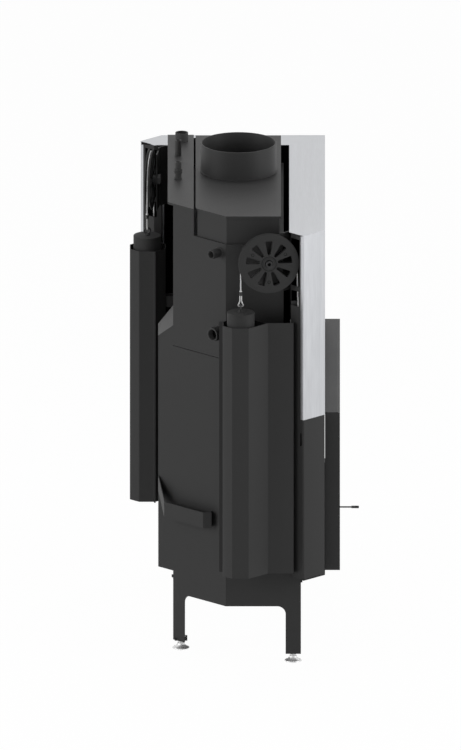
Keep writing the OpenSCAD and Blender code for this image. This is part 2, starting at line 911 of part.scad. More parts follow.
module housing_side() color(bright) placed()
  mirror([1, 1, 0]) {
    housing_top(side_tip);
    block([end_cut - side_tip, 0, housing_z], [-sheet_t, sheet_t, housing_top_z - sheet_t]);
  }

flange_w = 11.3;
module housing_end()
  folded([[end_cut, 0], [0, end_cut], [flange_w / root2, end_cut + flange_w / root2]], 0, sheet_t,
    housing_z, housing_top_z - sheet_t);

module housing_near_end() color(bright) placed()
  near_end()
    difference() {
      housing_end();
      block([0, -over, housing_z - over], [end_cut + sheet_t * 2, sheet_t, housing_top_z]);
    }

module housing_far_end() color(bright) placed()
  far_end()
    difference() {
      housing_end();
      block([0, -over, housing_z - over], [end_cut + sheet_t * 2, sheet_t, housing_top_z]);
    }

inner_w0 = housing_w - sheet_t - column_t;
module housing_inner_front() color(soot) placed()
  block([-body_len, inner_w0, upper_wall_z + throat_t],
    [-inner_w0, inner_w0 + column_t, housing_top_z - sheet_t]);

module housing_inner_side() color(soot) placed()
  block([-inner_w0 - column_t, inner_w0 + column_t, upper_wall_z + throat_t],
    [-inner_w0, body_depth, housing_top_z - sheet_t]);

// Guide rails in the columns
rail_w0 = 56;
rail_w1 = 68;
rail_out = 44;
rail_in = 32;
rail_z = 256;
rail_top_z = 1190;
tab_h = 30;
tab_w = 5;
tab_places = [300, 680, 990];
inner_line = end_cut - (sheet_t + column_t) * root2;

function inner_w(e) = min(e + inner_line, column_w - sheet_t - column_t);

module guide_rail(wall) {
  e0 = wall - rail_out;
  e1 = wall - rail_in;
  block([e0, rail_w0, rail_z], [e1, rail_w1, rail_top_z]);
  for (z = tab_places)
    translate([0, 0, z])
      linear_extrude(tab_h)
        polygon([[e1 - tab_w, rail_w1], [e1, rail_w1], [e1, inner_w(e1)],
          [e1 - tab_w, inner_w(e1 - tab_w)]]);
}

module guide_rails() color(bright) placed() {
  near_end()
    guide_rail(front_over);
  far_end()
    guide_rail(side_over);
}

// Lift gear places, measured from the body wall outwards
pulley_out = 61;
pulley_in_w = 150.75;
weight_out = pulley_out + rope_run_r * sin(pulley_turn);
weight_w = pulley_in_w + rope_run_r * cos(pulley_turn);
door_rope_out = pulley_out - rope_run_r * sin(pulley_turn);
door_rope_w = pulley_in_w - rope_run_r * cos(pulley_turn);
axle_d = 16;
bracket_near = 17;
bracket_t = 3;
bracket_z = 1048;
bracket_reach = 15;
bracket_under_rim = 8;
bracket_root_w = 73.7;
bracket_lap = 15;

// Frame of a pulley: z along its axle, towards the outside
module pulley_place(wall) {
  translate([wall - pulley_out, pulley_in_w, pulley_z])
    rotate([0, 0, pulley_turn])
      rotate([0, -90, 0])
        children();
}

// Place on a pulley's bracket, from its distance behind the pulley and across the axle
function behind_pulley(wall, back, across) = [
  wall - pulley_out + back * cos(pulley_turn) - across * sin(pulley_turn),
  pulley_in_w + back * sin(pulley_turn) + across * cos(pulley_turn)];
// Where the leaf behind the pulley meets the slanted leaf, across the axle
bracket_bend = (bracket_root_w + pulley_out - pulley_in_w - bracket_near
  * (cos(pulley_turn) + sin(pulley_turn)))
  / (cos(pulley_turn) - sin(pulley_turn));

// Folded bracket: a leaf behind the pulley, a slanted leaf, and a flange on the housing's inner sheet
module pulley_bracket(wall) {
  flange_in = inner_w0 - bracket_t;
  difference() {
    folded([[wall + bracket_lap, flange_in], [wall + bracket_root_w - flange_in, flange_in],
      behind_pulley(wall, bracket_near, bracket_bend), behind_pulley(wall, bracket_near, bracket_reach)],
      0, bracket_t, bracket_z, housing_top_z - sheet_t);
    pulley_place(wall) {
      translate([0, 0, -bracket_near - bracket_t * 3])
        cylinder(d = axle_d, h = bracket_t * 4);
      block([pulley_d / 2 - bracket_under_rim, bracket_bend + bracket_t * 3, -bracket_near - bracket_t - over],
        [pulley_d / 2 + bracket_under_rim, bracket_reach + over, over - bracket_near]);
    }
  }
}

module pulley_brackets() color(charcoal) placed() {
  near_end()
    pulley_bracket(front_over);
  far_end()
    pulley_bracket(side_over);
}

axle_head_d = 26;
axle_head_t = 3;
socket_d = 10;
axle_cap_d = 18.8;
axle_cap_h = 5;
axle_nut_h = 8;

module pulley_axle(wall)
  pulley_place(wall)
    difference() {
      union() {
        translate([0, 0, -bracket_near - bracket_t - axle_nut_h])
          cylinder(d = axle_d, h = bracket_near + bracket_t + axle_nut_h + pulley_w / 2 + slip);
        translate([0, 0, pulley_w / 2 + slip])
          cylinder(d = axle_head_d, h = axle_head_t);
        translate([0, 0, pulley_w / 2 + slip + axle_head_t])
          cylinder(d = axle_cap_d, h = axle_cap_h);
        translate([0, 0, -bracket_near])
          cylinder(d = axle_head_d, h = bracket_near - pulley_w / 2 - slip);
        translate([0, 0, -bracket_near - bracket_t - axle_nut_h])
          cylinder(d = axle_head_d, h = axle_nut_h, $fn = 6);
      }
      translate([0, 0, pulley_w / 2 + slip + axle_head_t])
        cylinder(d = socket_d, h = axle_cap_h + over, $fn = 6);
    }

module pulley_axles() color(bright) placed() {
  near_end()
    pulley_axle(front_over);
  far_end()
    pulley_axle(side_over);
}

// Counterweight casings, folded round the weights
shaft_t = 2;
shaft_w_end = 273.6;
shaft_flange = 10;
shaft_bevel = 24.6;
shaft_front = 83.75;
shaft_flat = 64.15;
shaft_lap = 51;
shaft_out_w = 44.6;
shell_out_w = 44;

function shaft_path(wall) =
  let (out = wall - shaft_out, bend = shaft_w_end - shaft_bevel, flat = wall - shaft_flat,
    half = bend - shaft_out_w)
  [[wall - shaft_lap, shaft_w_end + shaft_flange], [wall - shaft_lap, shaft_w_end],
    [out + shaft_bevel, shaft_w_end],
    [out, bend], [out, half], [flat, half - (flat - out)], [flat, shaft_front],
    [shaft_front - end_cut + sheet_t * root2 - slip, shaft_front]];

module near_weight_casing() color(charcoal) placed()
  near_end()
    folded(backwards(shaft_path(front_over)), 0, shaft_t, shaft_z, shaft_top_z);

module far_weight_casing() color(charcoal) placed()
  far_end()
    folded(backwards(shaft_path(side_over)), 0, shaft_t, shaft_z, shaft_top_z);

back_stand = 22;
function back_shell_path(wall) =
  let (lap = wall - shaft_lap + shaft_t, back = wall - back_stand, flat = wall - shaft_flat + shaft_t,
    w1 = shaft_w_end - shaft_t, w2 = w1 - (back - lap), w3 = w2 - shell_out_w)
  [[lap, shaft_w_end + shaft_flange], [lap, w1], [back, w2], [back, w3], [flat, w3 - (back - flat)],
    [flat, shaft_front + shaft_flange]];

module casing_back_shells() color(charcoal) placed() {
  near_end()
    folded(backwards(back_shell_path(front_over)), 0, shaft_t, shaft_z, shaft_top_z);
  far_end()
    folded(backwards(back_shell_path(side_over)), 0, shaft_t, shaft_z, shaft_top_z);
}

// Hollow spacers between the back shells and the body
spacer_h = 30;
spacer_w = 30;
spacer_t = 3;
spacer_places = [330, 800];

module spacer(wall)
  for (z = spacer_places)
    translate([wall - back_stand + shaft_t, back_shell_path(wall)[3][1] + shaft_t * 2, z])
      difference() {
        cube([back_stand - shaft_t, spacer_w, spacer_h]);
        translate([-over, spacer_t, spacer_t])
          cube([back_stand + over * 2, spacer_w - spacer_t * 2, spacer_h - spacer_t * 2]);
      }

module casing_brackets() color(charcoal) placed() {
  near_end()
    spacer(front_over);
  far_end()
    spacer(side_over);
}

// Rope over the pulleys
module rope_wraps() color(bright) placed() {
  near_end()
    rope_wrap(front_over);
  far_end()
    rope_wrap(side_over);
}
module rope_wrap(wall)
  pulley_place(wall)
    rotate([0, 0, -90])
      rotate_extrude(angle = 180)
        translate([rope_run_r, 0])
          circle(d = rope_d, $fn = 16);

// Screws that clamp the casing to the stand, with their ends showing beside two legs
bolt_d = 8;
bolt_h = 4;
cut_screw_z = 191;
end_screw_z = 217;

module case_bolts() color(charcoal) placed() {
  translate([body_depth - cut_sum + leg_w, body_depth, cut_screw_z])
    rotate([-90, 0, 0])
      cylinder(d = bolt_d, h = bolt_h);
  translate([leg_w - body_len, stand_set, end_screw_z])
    rotate([90, 0, 0])
      cylinder(d = bolt_d, h = bolt_h);
}

// Pulleys
hub_r = 19.6;
flange_t = 2;
groove_r = rope_run_r - rope_d / 2 - slip;
slot_in_r = 24;
slot_out_r = 63;
slot_in_half = 3.9;
slot_out_half = 10.3;
slot_corner = 3;
groove_half_share = 0.65;
rivet_r = 51;
rivet_d = 7;
hub_step = 0.6;

function slot_points() = concat(
  arc([slot_in_r + slot_in_half, 0], slot_in_half, 100, 260, 6),
  arc([slot_out_r - slot_corner, slot_corner - slot_out_half], slot_corner, 280, 360, 4),
  arc([slot_out_r - slot_corner, slot_out_half - slot_corner], slot_corner, 0, 80, 4));

module pulley(wall)
  pulley_place(wall) {
    difference() {
      rotate_extrude($fn = 96)
        polygon([[axle_d / 2 + running, -pulley_w / 2], [pulley_d / 2, -pulley_w / 2],
          [pulley_d / 2, flange_t - pulley_w / 2], [groove_r, -rope_d * groove_half_share],
          [groove_r, rope_d * groove_half_share],
          [pulley_d / 2, pulley_w / 2 - flange_t], [pulley_d / 2, pulley_w / 2],
            [axle_d / 2 + running, pulley_w / 2]]);
      for (i = [0 : slot_count - 1])
        rotate([0, 0, i * 360 / slot_count])
          translate([0, 0, -pulley_w])
            linear_extrude(pulley_w * 2)
              polygon(slot_points());
      // Face groove round the hub
      translate([0, 0, pulley_w / 2 - hub_step])
        difference() {
          cylinder(r = hub_r, h = hub_step + over);
          translate([0, 0, -over])
            cylinder(r = hub_r - hub_step, h = hub_step + over * 3);
        }
    }
    for (i = [0 : 2])
      rotate([0, 0, 60 + i * 120])
        translate([rivet_r, 0, pulley_w / 2 - hub_step])
          cylinder(d = rivet_d, h = hub_step * 2);
  }
// Running clearance of the pulley's bore, on the radius
running = 0.05;

module near_pulley() color(charcoal) placed()
  near_end()
    pulley(front_over);

module far_pulley() color(charcoal) placed()
  far_end()
    pulley(side_over);

// Counterweights
eye_hole_d = 8;
weight_edge = 2;
eye_deep = 20;

module weight_at(wall)
  translate([wall - weight_out, weight_w, weight_top_z])
    children();

module weight(wall)
  weight_at(wall)
    rotate_extrude($fn = 64)
      polygon([[0, -weight_len], [weight_d / 2 - weight_edge, -weight_len],
        [weight_d / 2, weight_edge - weight_len],
        [weight_d / 2, -weight_edge], [weight_d / 2 - weight_edge, 0], [eye_hole_d / 2, 0],
          [eye_hole_d / 2, -eye_deep],
        [0, -eye_deep]]);

module near_weight() color(charcoal) placed()
  near_end()
    weight(front_over);

module far_weight() color(charcoal) placed()
  far_end()
    weight(side_over);

// Eye bolts, with the rope's loop and sleeve
eye_collar_d = 16;
eye_collar_h = 3;
eye_r = 8;
eye_wire_d = 5;
loop_r = 8;
sleeve_d = 8;
sleeve_h = 10;
eye_z = eye_collar_h + eye_r + eye_wire_d / 4;
rope_loop_z = eye_z + eye_r - eye_wire_d / 2 - rope_d / 2 - slip + loop_r;
strand_h = 14;
sleeve_z = rope_loop_z + loop_r + strand_h;

module weight_eye(wall)
  weight_at(wall) {
    translate([0, 0, -eye_deep])
      cylinder(d = eye_hole_d, h = eye_deep);
    cylinder(d = eye_collar_d, h = eye_collar_h);
    translate([0, 0, eye_z])
      rotate([90, 0, 0])
        rotate_extrude()
          translate([eye_r, 0])
            circle(d = eye_wire_d, $fn = 16);
    translate([0, 0, rope_loop_z])
      rotate([0, 90, 0])
        rotate_extrude()
          translate([loop_r, 0])
            circle(d = rope_d, $fn = 16);
    translate([0, 0, rope_loop_z + loop_r])
      cylinder(d = rope_d, h = strand_h, $fn = 16);
    translate([0, 0, sleeve_z])
      cylinder(d = sleeve_d, h = sleeve_h);
  }

module near_weight_eye() color(bright) placed()
  near_end()
    weight_eye(front_over);

module far_weight_eye() color(bright) placed()
  far_end()
    weight_eye(side_over);

// Straight stretches of rope
weight_rope_z = weight_top_z + sleeve_z + sleeve_h;

module weight_rope(wall)
  translate([wall - weight_out, weight_w, weight_rope_z])
    cylinder(d = rope_d, h = pulley_z - weight_rope_z, $fn = 16);

module near_weight_rope() color(bright) placed()
  near_end()
    weight_rope(front_over);

module far_weight_rope() color(bright) placed()
  far_end()
    weight_rope(side_over);

// Door: rails, posts and the carriages that run on the rails
door_w0 = 8;
door_w1 = 44;
door_z = 284;
door_top_z = 692;
low_rail_h = 26;
high_rail_h = 24;
door_end_out = 19;
door_end_in = 26;
glass_w0 = 12;
glass_t = 4;
glass_hold = 12;
rail_wall = 2;
carriage_w1 = 50;
carriage_out = 54;
carriage_in = 6;
hook_out = 49.5;
hook_w = 60;
hook_d = 8;
lug_t = 8;
lug_z = 668;

module door_end(wall) {
  // Post at the arm's end
  difference() {
    block([wall - door_end_out, door_w0, door_z], [wall + door_end_in, door_w1, door_top_z]);
    block([wall - door_end_out + rail_wall, glass_w0 + glass_t + rail_wall * 2, door_z + low_rail_h],
      [wall + door_end_in - rail_wall, door_w1 - rail_wall, door_top_z - high_rail_h]);
    block([wall, glass_w0 - slip, door_z + low_rail_h - glass_hold],
      [wall + door_end_in + over, glass_w0 + glass_t + slip, door_top_z - high_rail_h + glass_hold]);
  }
  // Carriage plate behind it, with the rope's lug
  block([wall - carriage_out, door_w1, door_z], [wall + carriage_in, carriage_w1, door_top_z]);
  block([wall - hook_out - hook_d / 2, carriage_w1, lug_z],
    [wall - hook_out + hook_d / 2, hook_w + hook_d / 2 + rail_wall, lug_z + lug_t]);
  translate([wall - hook_out, hook_w, lug_z + lug_t])
    cylinder(d = hook_d, h = door_sleeve_h);
}

module door_rails(z0, z1, glass_z0, glass_z1)
  difference() {
    band(door_w0, door_w1, body_len - door_end_in + over, body_depth - door_end_in + over, z0, z1);
    band(glass_w0 - slip, glass_w0 + glass_t + slip, body_len, body_depth, glass_z0, glass_z1);
    band(glass_w0 + glass_t + rail_wall * 2, door_w1 - rail_wall, body_len, body_depth, z0 + rail_wall,
      z1 - rail_wall);
  }

module door_frame() color(charcoal) placed() {
  door_rails(door_z, door_z + low_rail_h, door_z + low_rail_h - glass_hold, door_top_z);
  door_rails(door_top_z - high_rail_h, door_top_z, door_z, door_top_z - high_rail_h + glass_hold);
  near_end()
    door_end(front_over);
  far_end()
    door_end(side_over);
}

module front_glass() color([0.55, 0.6, 0.62, 0.35]) placed()
  block([slip - body_len, glass_w0, door_z + low_rail_h - glass_hold],
    [-glass_w0, glass_w0 + glass_t, door_top_z - high_rail_h + glass_hold]);

module side_glass() color([0.55, 0.6, 0.62, 0.35]) placed()
  block([-glass_w0 - glass_t, glass_w0 + glass_t + slip, door_z + low_rail_h - glass_hold],
    [-glass_w0, body_depth - slip, door_top_z - high_rail_h + glass_hold]);

// Seals on the back of the door
seal_w = 7.5;
seal_h = 10;
seal_from = 10;

module door_seals() color([0.6, 0.6, 0.58]) placed() {
  near_len = body_len - seal_from;
  far_len = body_depth - seal_from;
  z0 = door_z + seal_h / 2;
  z1 = door_top_z - seal_h * 1.5;
  band(door_w1, door_w1 + seal_w, near_len, far_len, z0, z0 + seal_h);
  band(door_w1, door_w1 + seal_w, near_len, far_len, z1, z1 + seal_h);
  block([-near_len, door_w1, z0 + seal_h], [seal_h - near_len, door_w1 + seal_w, z1]);
  block([-door_w1 - seal_w, far_len - seal_h, z0 + seal_h], [-door_w1, far_len, z1]);
}

// Grip strip along the lower rail, flush enough to pass behind the housing
grip_w0 = 3;
grip_h = 12;
grip_t = 2;
grip_len = 500;
grip_from = 200;

module grip_strip() color(charcoal) placed() {
  block([-grip_from - grip_len, door_w0 - grip_t, door_z], [-grip_from, door_w0, door_z + grip_h]);
  block([-grip_from - grip_len, grip_w0, door_z], [-grip_from, door_w0 - grip_t, door_z + grip_t]);
}

// Brass shoes that run on the guide rails
shoe_h = 40;
shoe_side = 4;
shoe_w1 = 62;
shoe_places = [292, 620];

module shoe(wall)
  for (z = shoe_places)
    difference() {
      block([wall - rail_out - shoe_side, carriage_w1, z],
        [wall - rail_in + shoe_side, shoe_w1, z + shoe_h]);
      block([wall - rail_out - slip, rail_w0 - slip, z - over],
        [wall - rail_in + slip, shoe_w1 + over, z + shoe_h + over]);
    }

module guide_shoes() color([0.8, 0.65, 0.3]) placed() {
  near_end()
    shoe(front_over);
  far_end()
    shoe(side_over);
}

// Door ropes, from the sleeve on the lug up to the pulley
door_sleeve_h = 12;
door_rope_z = lug_z + lug_t + door_sleeve_h;

module door_rope(wall) {
  low = [wall - hook_out, hook_w, door_rope_z];
  high = [wall - door_rope_out, door_rope_w, pulley_z - slip];
  run = high - low;
  translate(low)
    rotate([0, acos(run[2] / norm(run)), atan2(run[1], run[0])])
      cylinder(d = rope_d, h = norm(run), $fn = 16);
}

module door_ropes() color(bright) placed() {
  near_end()
    door_rope(front_over);
  far_end()
    door_rope(side_over);
}

// Air lever with its grip, and the shutter that it slides
lever_d = 4;
grip_d = 6.5;
knob_len = 20;
shutter_len = 250;
shutter_t = 3;

module air_lever() color(iron) placed()
  translate([-lever_along, 0, lever_z])
    rotate([90, 0, 0]) {
      translate([0, 0, -frame_w1 - slip])
        cylinder(d = lever_d, h = frame_w1 + slip + lever_reach - knob_len);
      translate([0, 0, lever_reach - knob_len])
        cylinder(d = grip_d, h = knob_len);
    }

module air_shutter() color(iron) placed()
  difference() {
    block([-lever_along - shutter_len / 2, frame_w1 + slip, lever_z - shutter_h / 2],
      [-lever_along + shutter_len / 2, frame_w1 + slip + shutter_t, lever_z + shutter_h / 2]);
    for (step = inlet_steps)
      translate([step * inlet_pitch - lever_along - inlet_w / 2, frame_w1, lever_z - inlet_h / 2])
        cube([inlet_w, shutter_t * 2, inlet_h]);
  }

lower_casing();
levelling_feet();
sill_plate();
hearth_plate();
firebox_shell();
door_opening_frame();
end_slabs();
back_slab();
floor_slab();
grate();
ash_pan();
smoke_baffle();
water_jacket();
tube_plates();
smoke_tubes();
hood();
cover_plate();
flue_collar();
return_socket();
vent_socket();
flow_pipe();
cooling_loop();
rear_duct();
air_elbow();
surround_front();
surround_side();
near_column();
far_column();
housing_front();
housing_side();
housing_near_end();
housing_far_end();
housing_inner_front();
housing_inner_side();
guide_rails();
pulley_brackets();
pulley_axles();
near_weight_casing();
far_weight_casing();
casing_back_shells();
casing_brackets();
rope_wraps();
case_bolts();
near_pulley();
far_pulley();
near_weight();
far_weight();
near_weight_eye();
far_weight_eye();
near_weight_rope();
far_weight_rope();
door_ropes();
door_frame();
front_glass();
side_glass();
door_seals();
grip_strip();
guide_shoes();
air_lever();
air_shutter();
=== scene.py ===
"""Looks of a water jacket fireplace insert: paint, steel sheet, ropes, pulleys, feet and lights."""

import json
import math

import bmesh
import bpy
import numpy as np
from mathutils import Matrix, Vector


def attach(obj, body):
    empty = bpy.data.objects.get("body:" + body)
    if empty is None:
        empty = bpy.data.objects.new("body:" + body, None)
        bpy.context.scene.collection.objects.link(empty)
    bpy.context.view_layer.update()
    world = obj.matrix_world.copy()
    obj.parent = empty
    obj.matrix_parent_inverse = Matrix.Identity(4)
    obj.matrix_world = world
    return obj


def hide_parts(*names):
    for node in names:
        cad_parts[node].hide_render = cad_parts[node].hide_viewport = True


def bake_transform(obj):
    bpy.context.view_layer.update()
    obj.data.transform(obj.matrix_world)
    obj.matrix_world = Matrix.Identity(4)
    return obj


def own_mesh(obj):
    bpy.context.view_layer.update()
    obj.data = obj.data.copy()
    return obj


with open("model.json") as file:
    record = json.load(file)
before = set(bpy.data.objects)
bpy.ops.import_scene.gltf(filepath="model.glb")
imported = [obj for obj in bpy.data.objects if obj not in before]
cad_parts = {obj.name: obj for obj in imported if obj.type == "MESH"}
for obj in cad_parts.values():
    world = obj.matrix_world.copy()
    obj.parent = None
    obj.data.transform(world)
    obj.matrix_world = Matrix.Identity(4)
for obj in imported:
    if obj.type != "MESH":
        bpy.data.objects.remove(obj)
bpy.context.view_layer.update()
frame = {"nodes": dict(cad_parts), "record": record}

# ---------------------------------------------------------------- camera and light
PIXEL = 0.00268
PHOTO_H = 750
ELEVATION = math.radians(16.0)
TARGET = np.array([0.0, 0.0373, 0.6840])
CAMERA_AWAY = 7.0


def make_camera():
    """Parallel view from -X: right is -Y, up leans back by the elevation."""
    data = bpy.data.cameras.new("photo_camera")
    data.type = "ORTHO"
    data.ortho_scale = PIXEL * PHOTO_H
    data.clip_end = 60.0
    camera = bpy.data.objects.new("photo_camera", data)
    back = np.array([-math.cos(ELEVATION), 0.0, math.sin(ELEVATION)])
    up = np.array([math.sin(ELEVATION), 0.0, math.cos(ELEVATION)])
    side = np.array([0.0, -1.0, 0.0])
    matrix = np.eye(4)
    matrix[:3, 0], matrix[:3, 1], matrix[:3, 2] = side, up, back
    matrix[:3, 3] = TARGET + CAMERA_AWAY * back
    camera.matrix_world = Matrix(matrix.tolist())
    bpy.context.scene.collection.objects.link(camera)
    bpy.context.scene.camera = camera


def make_light(name, place, size, power, target=(0.0, 0.0, 0.7)):
    """A square soft box at a place, turned towards a target."""
    data = bpy.data.lights.new(name, "AREA")
    data.shape = "SQUARE"
    data.size = size
    data.energy = power
    lamp = bpy.data.objects.new(name, data)
    lamp.location = place
    from_lamp = np.array(target) - np.array(place)
    lamp.rotation_euler = Vector(from_lamp).to_track_quat("-Z", "Y").to_euler()
    bpy.context.scene.collection.objects.link(lamp)


def eye_rays(tree):
    """1 for rays of the camera, of mirrors and of glass, else 0."""
    path = tree.nodes.new("ShaderNodeLightPath")
    seen = path.outputs["Is Camera Ray"]
    for kind in ("Is Glossy Ray", "Is Transmission Ray"):
        either = tree.nodes.new("ShaderNodeMath")
        either.operation = "MAXIMUM"
        tree.links.new(seen, either.inputs[0])
        tree.links.new(path.outputs[kind], either.inputs[1])
        seen = either.outputs[0]
    return seen


def make_world():
    """White for camera, mirror and glass rays; an even grey dome for the rest."""
    world = bpy.data.worlds.new("studio")
    bpy.context.scene.world = world
    world.use_nodes = True
    tree = world.node_tree
    tree.nodes.clear()
    out = tree.nodes.new("ShaderNodeOutputWorld")
    mix = tree.nodes.new("ShaderNodeMixShader")
    for i, strength in ((1, DOME), (2, 1.0)):
        side = tree.nodes.new("ShaderNodeBackground")
        side.inputs["Color"].default_value = (1, 1, 1, 1)
        side.inputs["Strength"].default_value = strength
        tree.links.new(side.outputs[0], mix.inputs[i])
    tree.links.new(eye_rays(tree), mix.inputs["Fac"])
    tree.links.new(mix.outputs[0], out.inputs["Surface"])


def make_floor():
    """A wide pale plane that keeps a faint shadow and otherwise shows white."""
    half = 14.0
    mesh = bpy.data.meshes.new("floor")
    corners = [(-half, -half, 0), (half, -half, 0), (half, half, 0), (-half, half, 0)]
    mesh.from_pydata(corners, [], [(0, 1, 2, 3)])
    floor = bpy.data.objects.new("floor", mesh)
    bpy.context.scene.collection.objects.link(floor)
    material = bpy.data.materials.new("floor")
    material.use_nodes = True
    tree = material.node_tree
    tree.nodes.clear()
    out = tree.nodes.new("ShaderNodeOutputMaterial")
    paper = tree.nodes.new("ShaderNodeBsdfDiffuse")
    paper.inputs["Color"].default_value = FLOOR_PAPER
    glow = tree.nodes.new("ShaderNodeEmission")
    glow.inputs["Strength"].default_value = FLOOR_WHITE
    share = tree.nodes.new("ShaderNodeMath")
    share.operation = "MULTIPLY"
    share.inputs[1].default_value = FLOOR_GLOW_SHARE
    mix = tree.nodes.new("ShaderNodeMixShader")
    tree.links.new(eye_rays(tree), share.inputs[0])
    tree.links.new(share.outputs[0], mix.inputs["Fac"])
    tree.links.new(paper.outputs[0], mix.inputs[1])
    tree.links.new(glow.outputs[0], mix.inputs[2])
    tree.links.new(mix.outputs[0], out.inputs["Surface"])
    mesh.materials.append(material)


DOME = 0.08
FLOOR_PAPER = (0.9, 0.9, 0.9, 1)
FLOOR_WHITE = 1.03
FLOOR_GLOW_SHARE = 0.95
bpy.context.scene.view_settings.view_transform = "Standard"
make_camera()
make_world()
make_floor()
make_light("overhead", (0.8, 0.0, 4.6), 1.8, 24.0)
make_light("left_fill", (-1.6, 3.9, 1.8), 2.4, 46.0)
make_light("right_fill", (-1.6, -3.9, 1.8), 2.4, 48.0)


# ---------------------------------------------------------------- materials
def group(name, inputs, outputs):
    """A new shader node group with named inputs (name, default) and outputs (name, kind)."""
    tree = bpy.data.node_groups.new(name, "ShaderNodeTree")
    for key, value in inputs:
        kind = "NodeSocketVector" if isinstance(value, tuple) else "NodeSocketFloat"
        socket = tree.interface.new_socket(key, in_out="INPUT", socket_type=kind)
        socket.default_value = value
    for key, kind in outputs:
        tree.interface.new_socket(key, in_out="OUTPUT", socket_type=kind)
    return tree, tree.nodes.new("NodeGroupInput"), tree.nodes.new("NodeGroupOutput")


def math_node(tree, operation, a, b, c=None):
    """A math node whose inputs are sockets or numbers."""
    node = tree.nodes.new("ShaderNodeMath")
    node.operation = operation
    for i, value in enumerate((a, b, c)):
        if value is None:
            continue
        if isinstance(value, (int, float)):
            node.inputs[i].default_value = value
        else:
            tree.links.new(value, node.inputs[i])
    return node.outputs[0]


def noise(tree, vector, scale, detail, roughness=0.55):
    """Noise of a given scale (a number or a socket) at a vector."""
    node = tree.nodes.new("ShaderNodeTexNoise")
    if isinstance(scale, (int, float)):
        node.inputs["Scale"].default_value = scale
    else:
        tree.links.new(scale, node.inputs["Scale"])
    node.inputs["Detail"].default_value = detail
    node.inputs["Roughness"].default_value = roughness
    tree.links.new(vector, node.inputs["Vector"])
    return node.outputs["Fac"]


def build_grain():
    """Cloudy tone and fine skin: tone = 1 + cloud * (large noise - 1/2) + speck * (fine noise - 1/2)."""
    tree, start, end = group(
        "skin_grain",
        [("Vector", (0.0, 0.0, 0.0)), ("Fine", 900.0), ("Cloud", 0.1), ("Speck", 0.1)],
        [("Tone", "NodeSocketFloat"), ("Height", "NodeSocketFloat"), ("Large", "NodeSocketFloat")],
    )
    large = noise(tree, start.outputs["Vector"], 5.0, 4.0)
    fine = noise(tree, start.outputs["Vector"], start.outputs["Fine"], 2.0)
    cloud = math_node(tree, "MULTIPLY", math_node(tree, "SUBTRACT", large, 0.5), start.outputs["Cloud"])
    speck = math_node(tree, "MULTIPLY", math_node(tree, "SUBTRACT", fine, 0.5), start.outputs["Speck"])
    tone = math_node(tree, "ADD", math_node(tree, "ADD", cloud, speck), 1.0)
    tree.links.new(tone, end.inputs["Tone"])
    tree.links.new(fine, end.inputs["Height"])
    tree.links.new(large, end.inputs["Large"])
    return tree


def build_brush():
    """Long parallel hairlines, from a fine and a broad noise stretched by a vector:
    tone = 1 + depth * (0.6 * fine + 0.4 * broad - 1/2)."""
    tree, start, end = group(
        "hairlines",
        [("Vector", (0.0, 0.0, 0.0)), ("Stretch", (1.0, 1.0, 1.0)), ("Fine", 400.0), ("Depth", 0.2)],
        [("Tone", "NodeSocketFloat"), ("Height", "NodeSocketFloat")],
    )
    scale = tree.nodes.new("ShaderNodeVectorMath")
    scale.operation = "MULTIPLY"
    tree.links.new(start.outputs["Vector"], scale.inputs[0])
    tree.links.new(start.outputs["Stretch"], scale.inputs[1])
    fine = noise(tree, scale.outputs[0], start.outputs["Fine"], 2.0, 0.7)
    coarse = math_node(tree, "MULTIPLY", start.outputs["Fine"], 0.22)
    broad = noise(tree, scale.outputs[0], coarse, 2.0, 0.6)
    fine_part = math_node(tree, "MULTIPLY", fine, 0.6)
    broad_part = math_node(tree, "MULTIPLY", broad, 0.4)
    both = math_node(tree, "ADD", fine_part, broad_part)
    swing = math_node(tree, "MULTIPLY", math_node(tree, "SUBTRACT", both, 0.5), start.outputs["Depth"])
    tone = math_node(tree, "ADD", swing, 1.0)
    tree.links.new(tone, end.inputs["Tone"])
    tree.links.new(both, end.inputs["Height"])
    return tree


GRAIN = build_grain()
BRUSH = build_brush()


class Finish:
    """A material under construction, with its Principled shader and Object coordinates."""

    def __init__(self, name, color, roughness, metallic=0.0, specular=0.5):
        self.material = bpy.data.materials.new(name)
        self.material.use_nodes = True
        self.tree = self.material.node_tree
        self.shader = self.tree.nodes["Principled BSDF"]
        self.color = tuple(color) + (1.0,)
        self.shader.inputs["Base Color"].default_value = self.color
        self.shader.inputs["Roughness"].default_value = roughness
        self.shader.inputs["Metallic"].default_value = metallic
        self.shader.inputs["Specular IOR Level"].default_value = specular
        coordinates = self.tree.nodes.new("ShaderNodeTexCoord")
        self.where = coordinates.outputs["Object"]
        self.roughness = roughness

    def use(self, tree, **values):
        """Places a node group with its own values, fed by Object coordinates."""
        node = self.tree.nodes.new("ShaderNodeGroup")
        node.node_tree = tree
        self.tree.links.new(self.where, node.inputs["Vector"])
        for key, value in values.items():
            node.inputs[key].default_value = value
        return node

    def tint(self, tone):
        """Base colour times a tone."""
        mix = self.tree.nodes.new("ShaderNodeVectorMath")
        mix.operation = "SCALE"
        mix.inputs[0].default_value = self.color[:3]
        self.tree.links.new(tone, mix.inputs["Scale"])
        self.tree.links.new(mix.outputs[0], self.shader.inputs["Base Color"])
        return self

    def skin(self, height, strength, distance=0.0005):
        """Bump from a height, with a strength and a distance in metres."""
        bump = self.tree.nodes.new("ShaderNodeBump")
        bump.inputs["Strength"].default_value = strength
        bump.inputs["Distance"].default_value = distance
        self.tree.links.new(height, bump.inputs["Height"])
        self.tree.links.new(bump.outputs[0], self.shader.inputs["Normal"])
        return self

    def vary(self, source, amount):
        """Roughness plus an amount times (source - 1/2)."""
        value = math_node(self.tree, "MULTIPLY_ADD", source, amount, self.roughness - amount / 2)
        self.tree.links.new(value, self.shader.inputs["Roughness"])
        return self


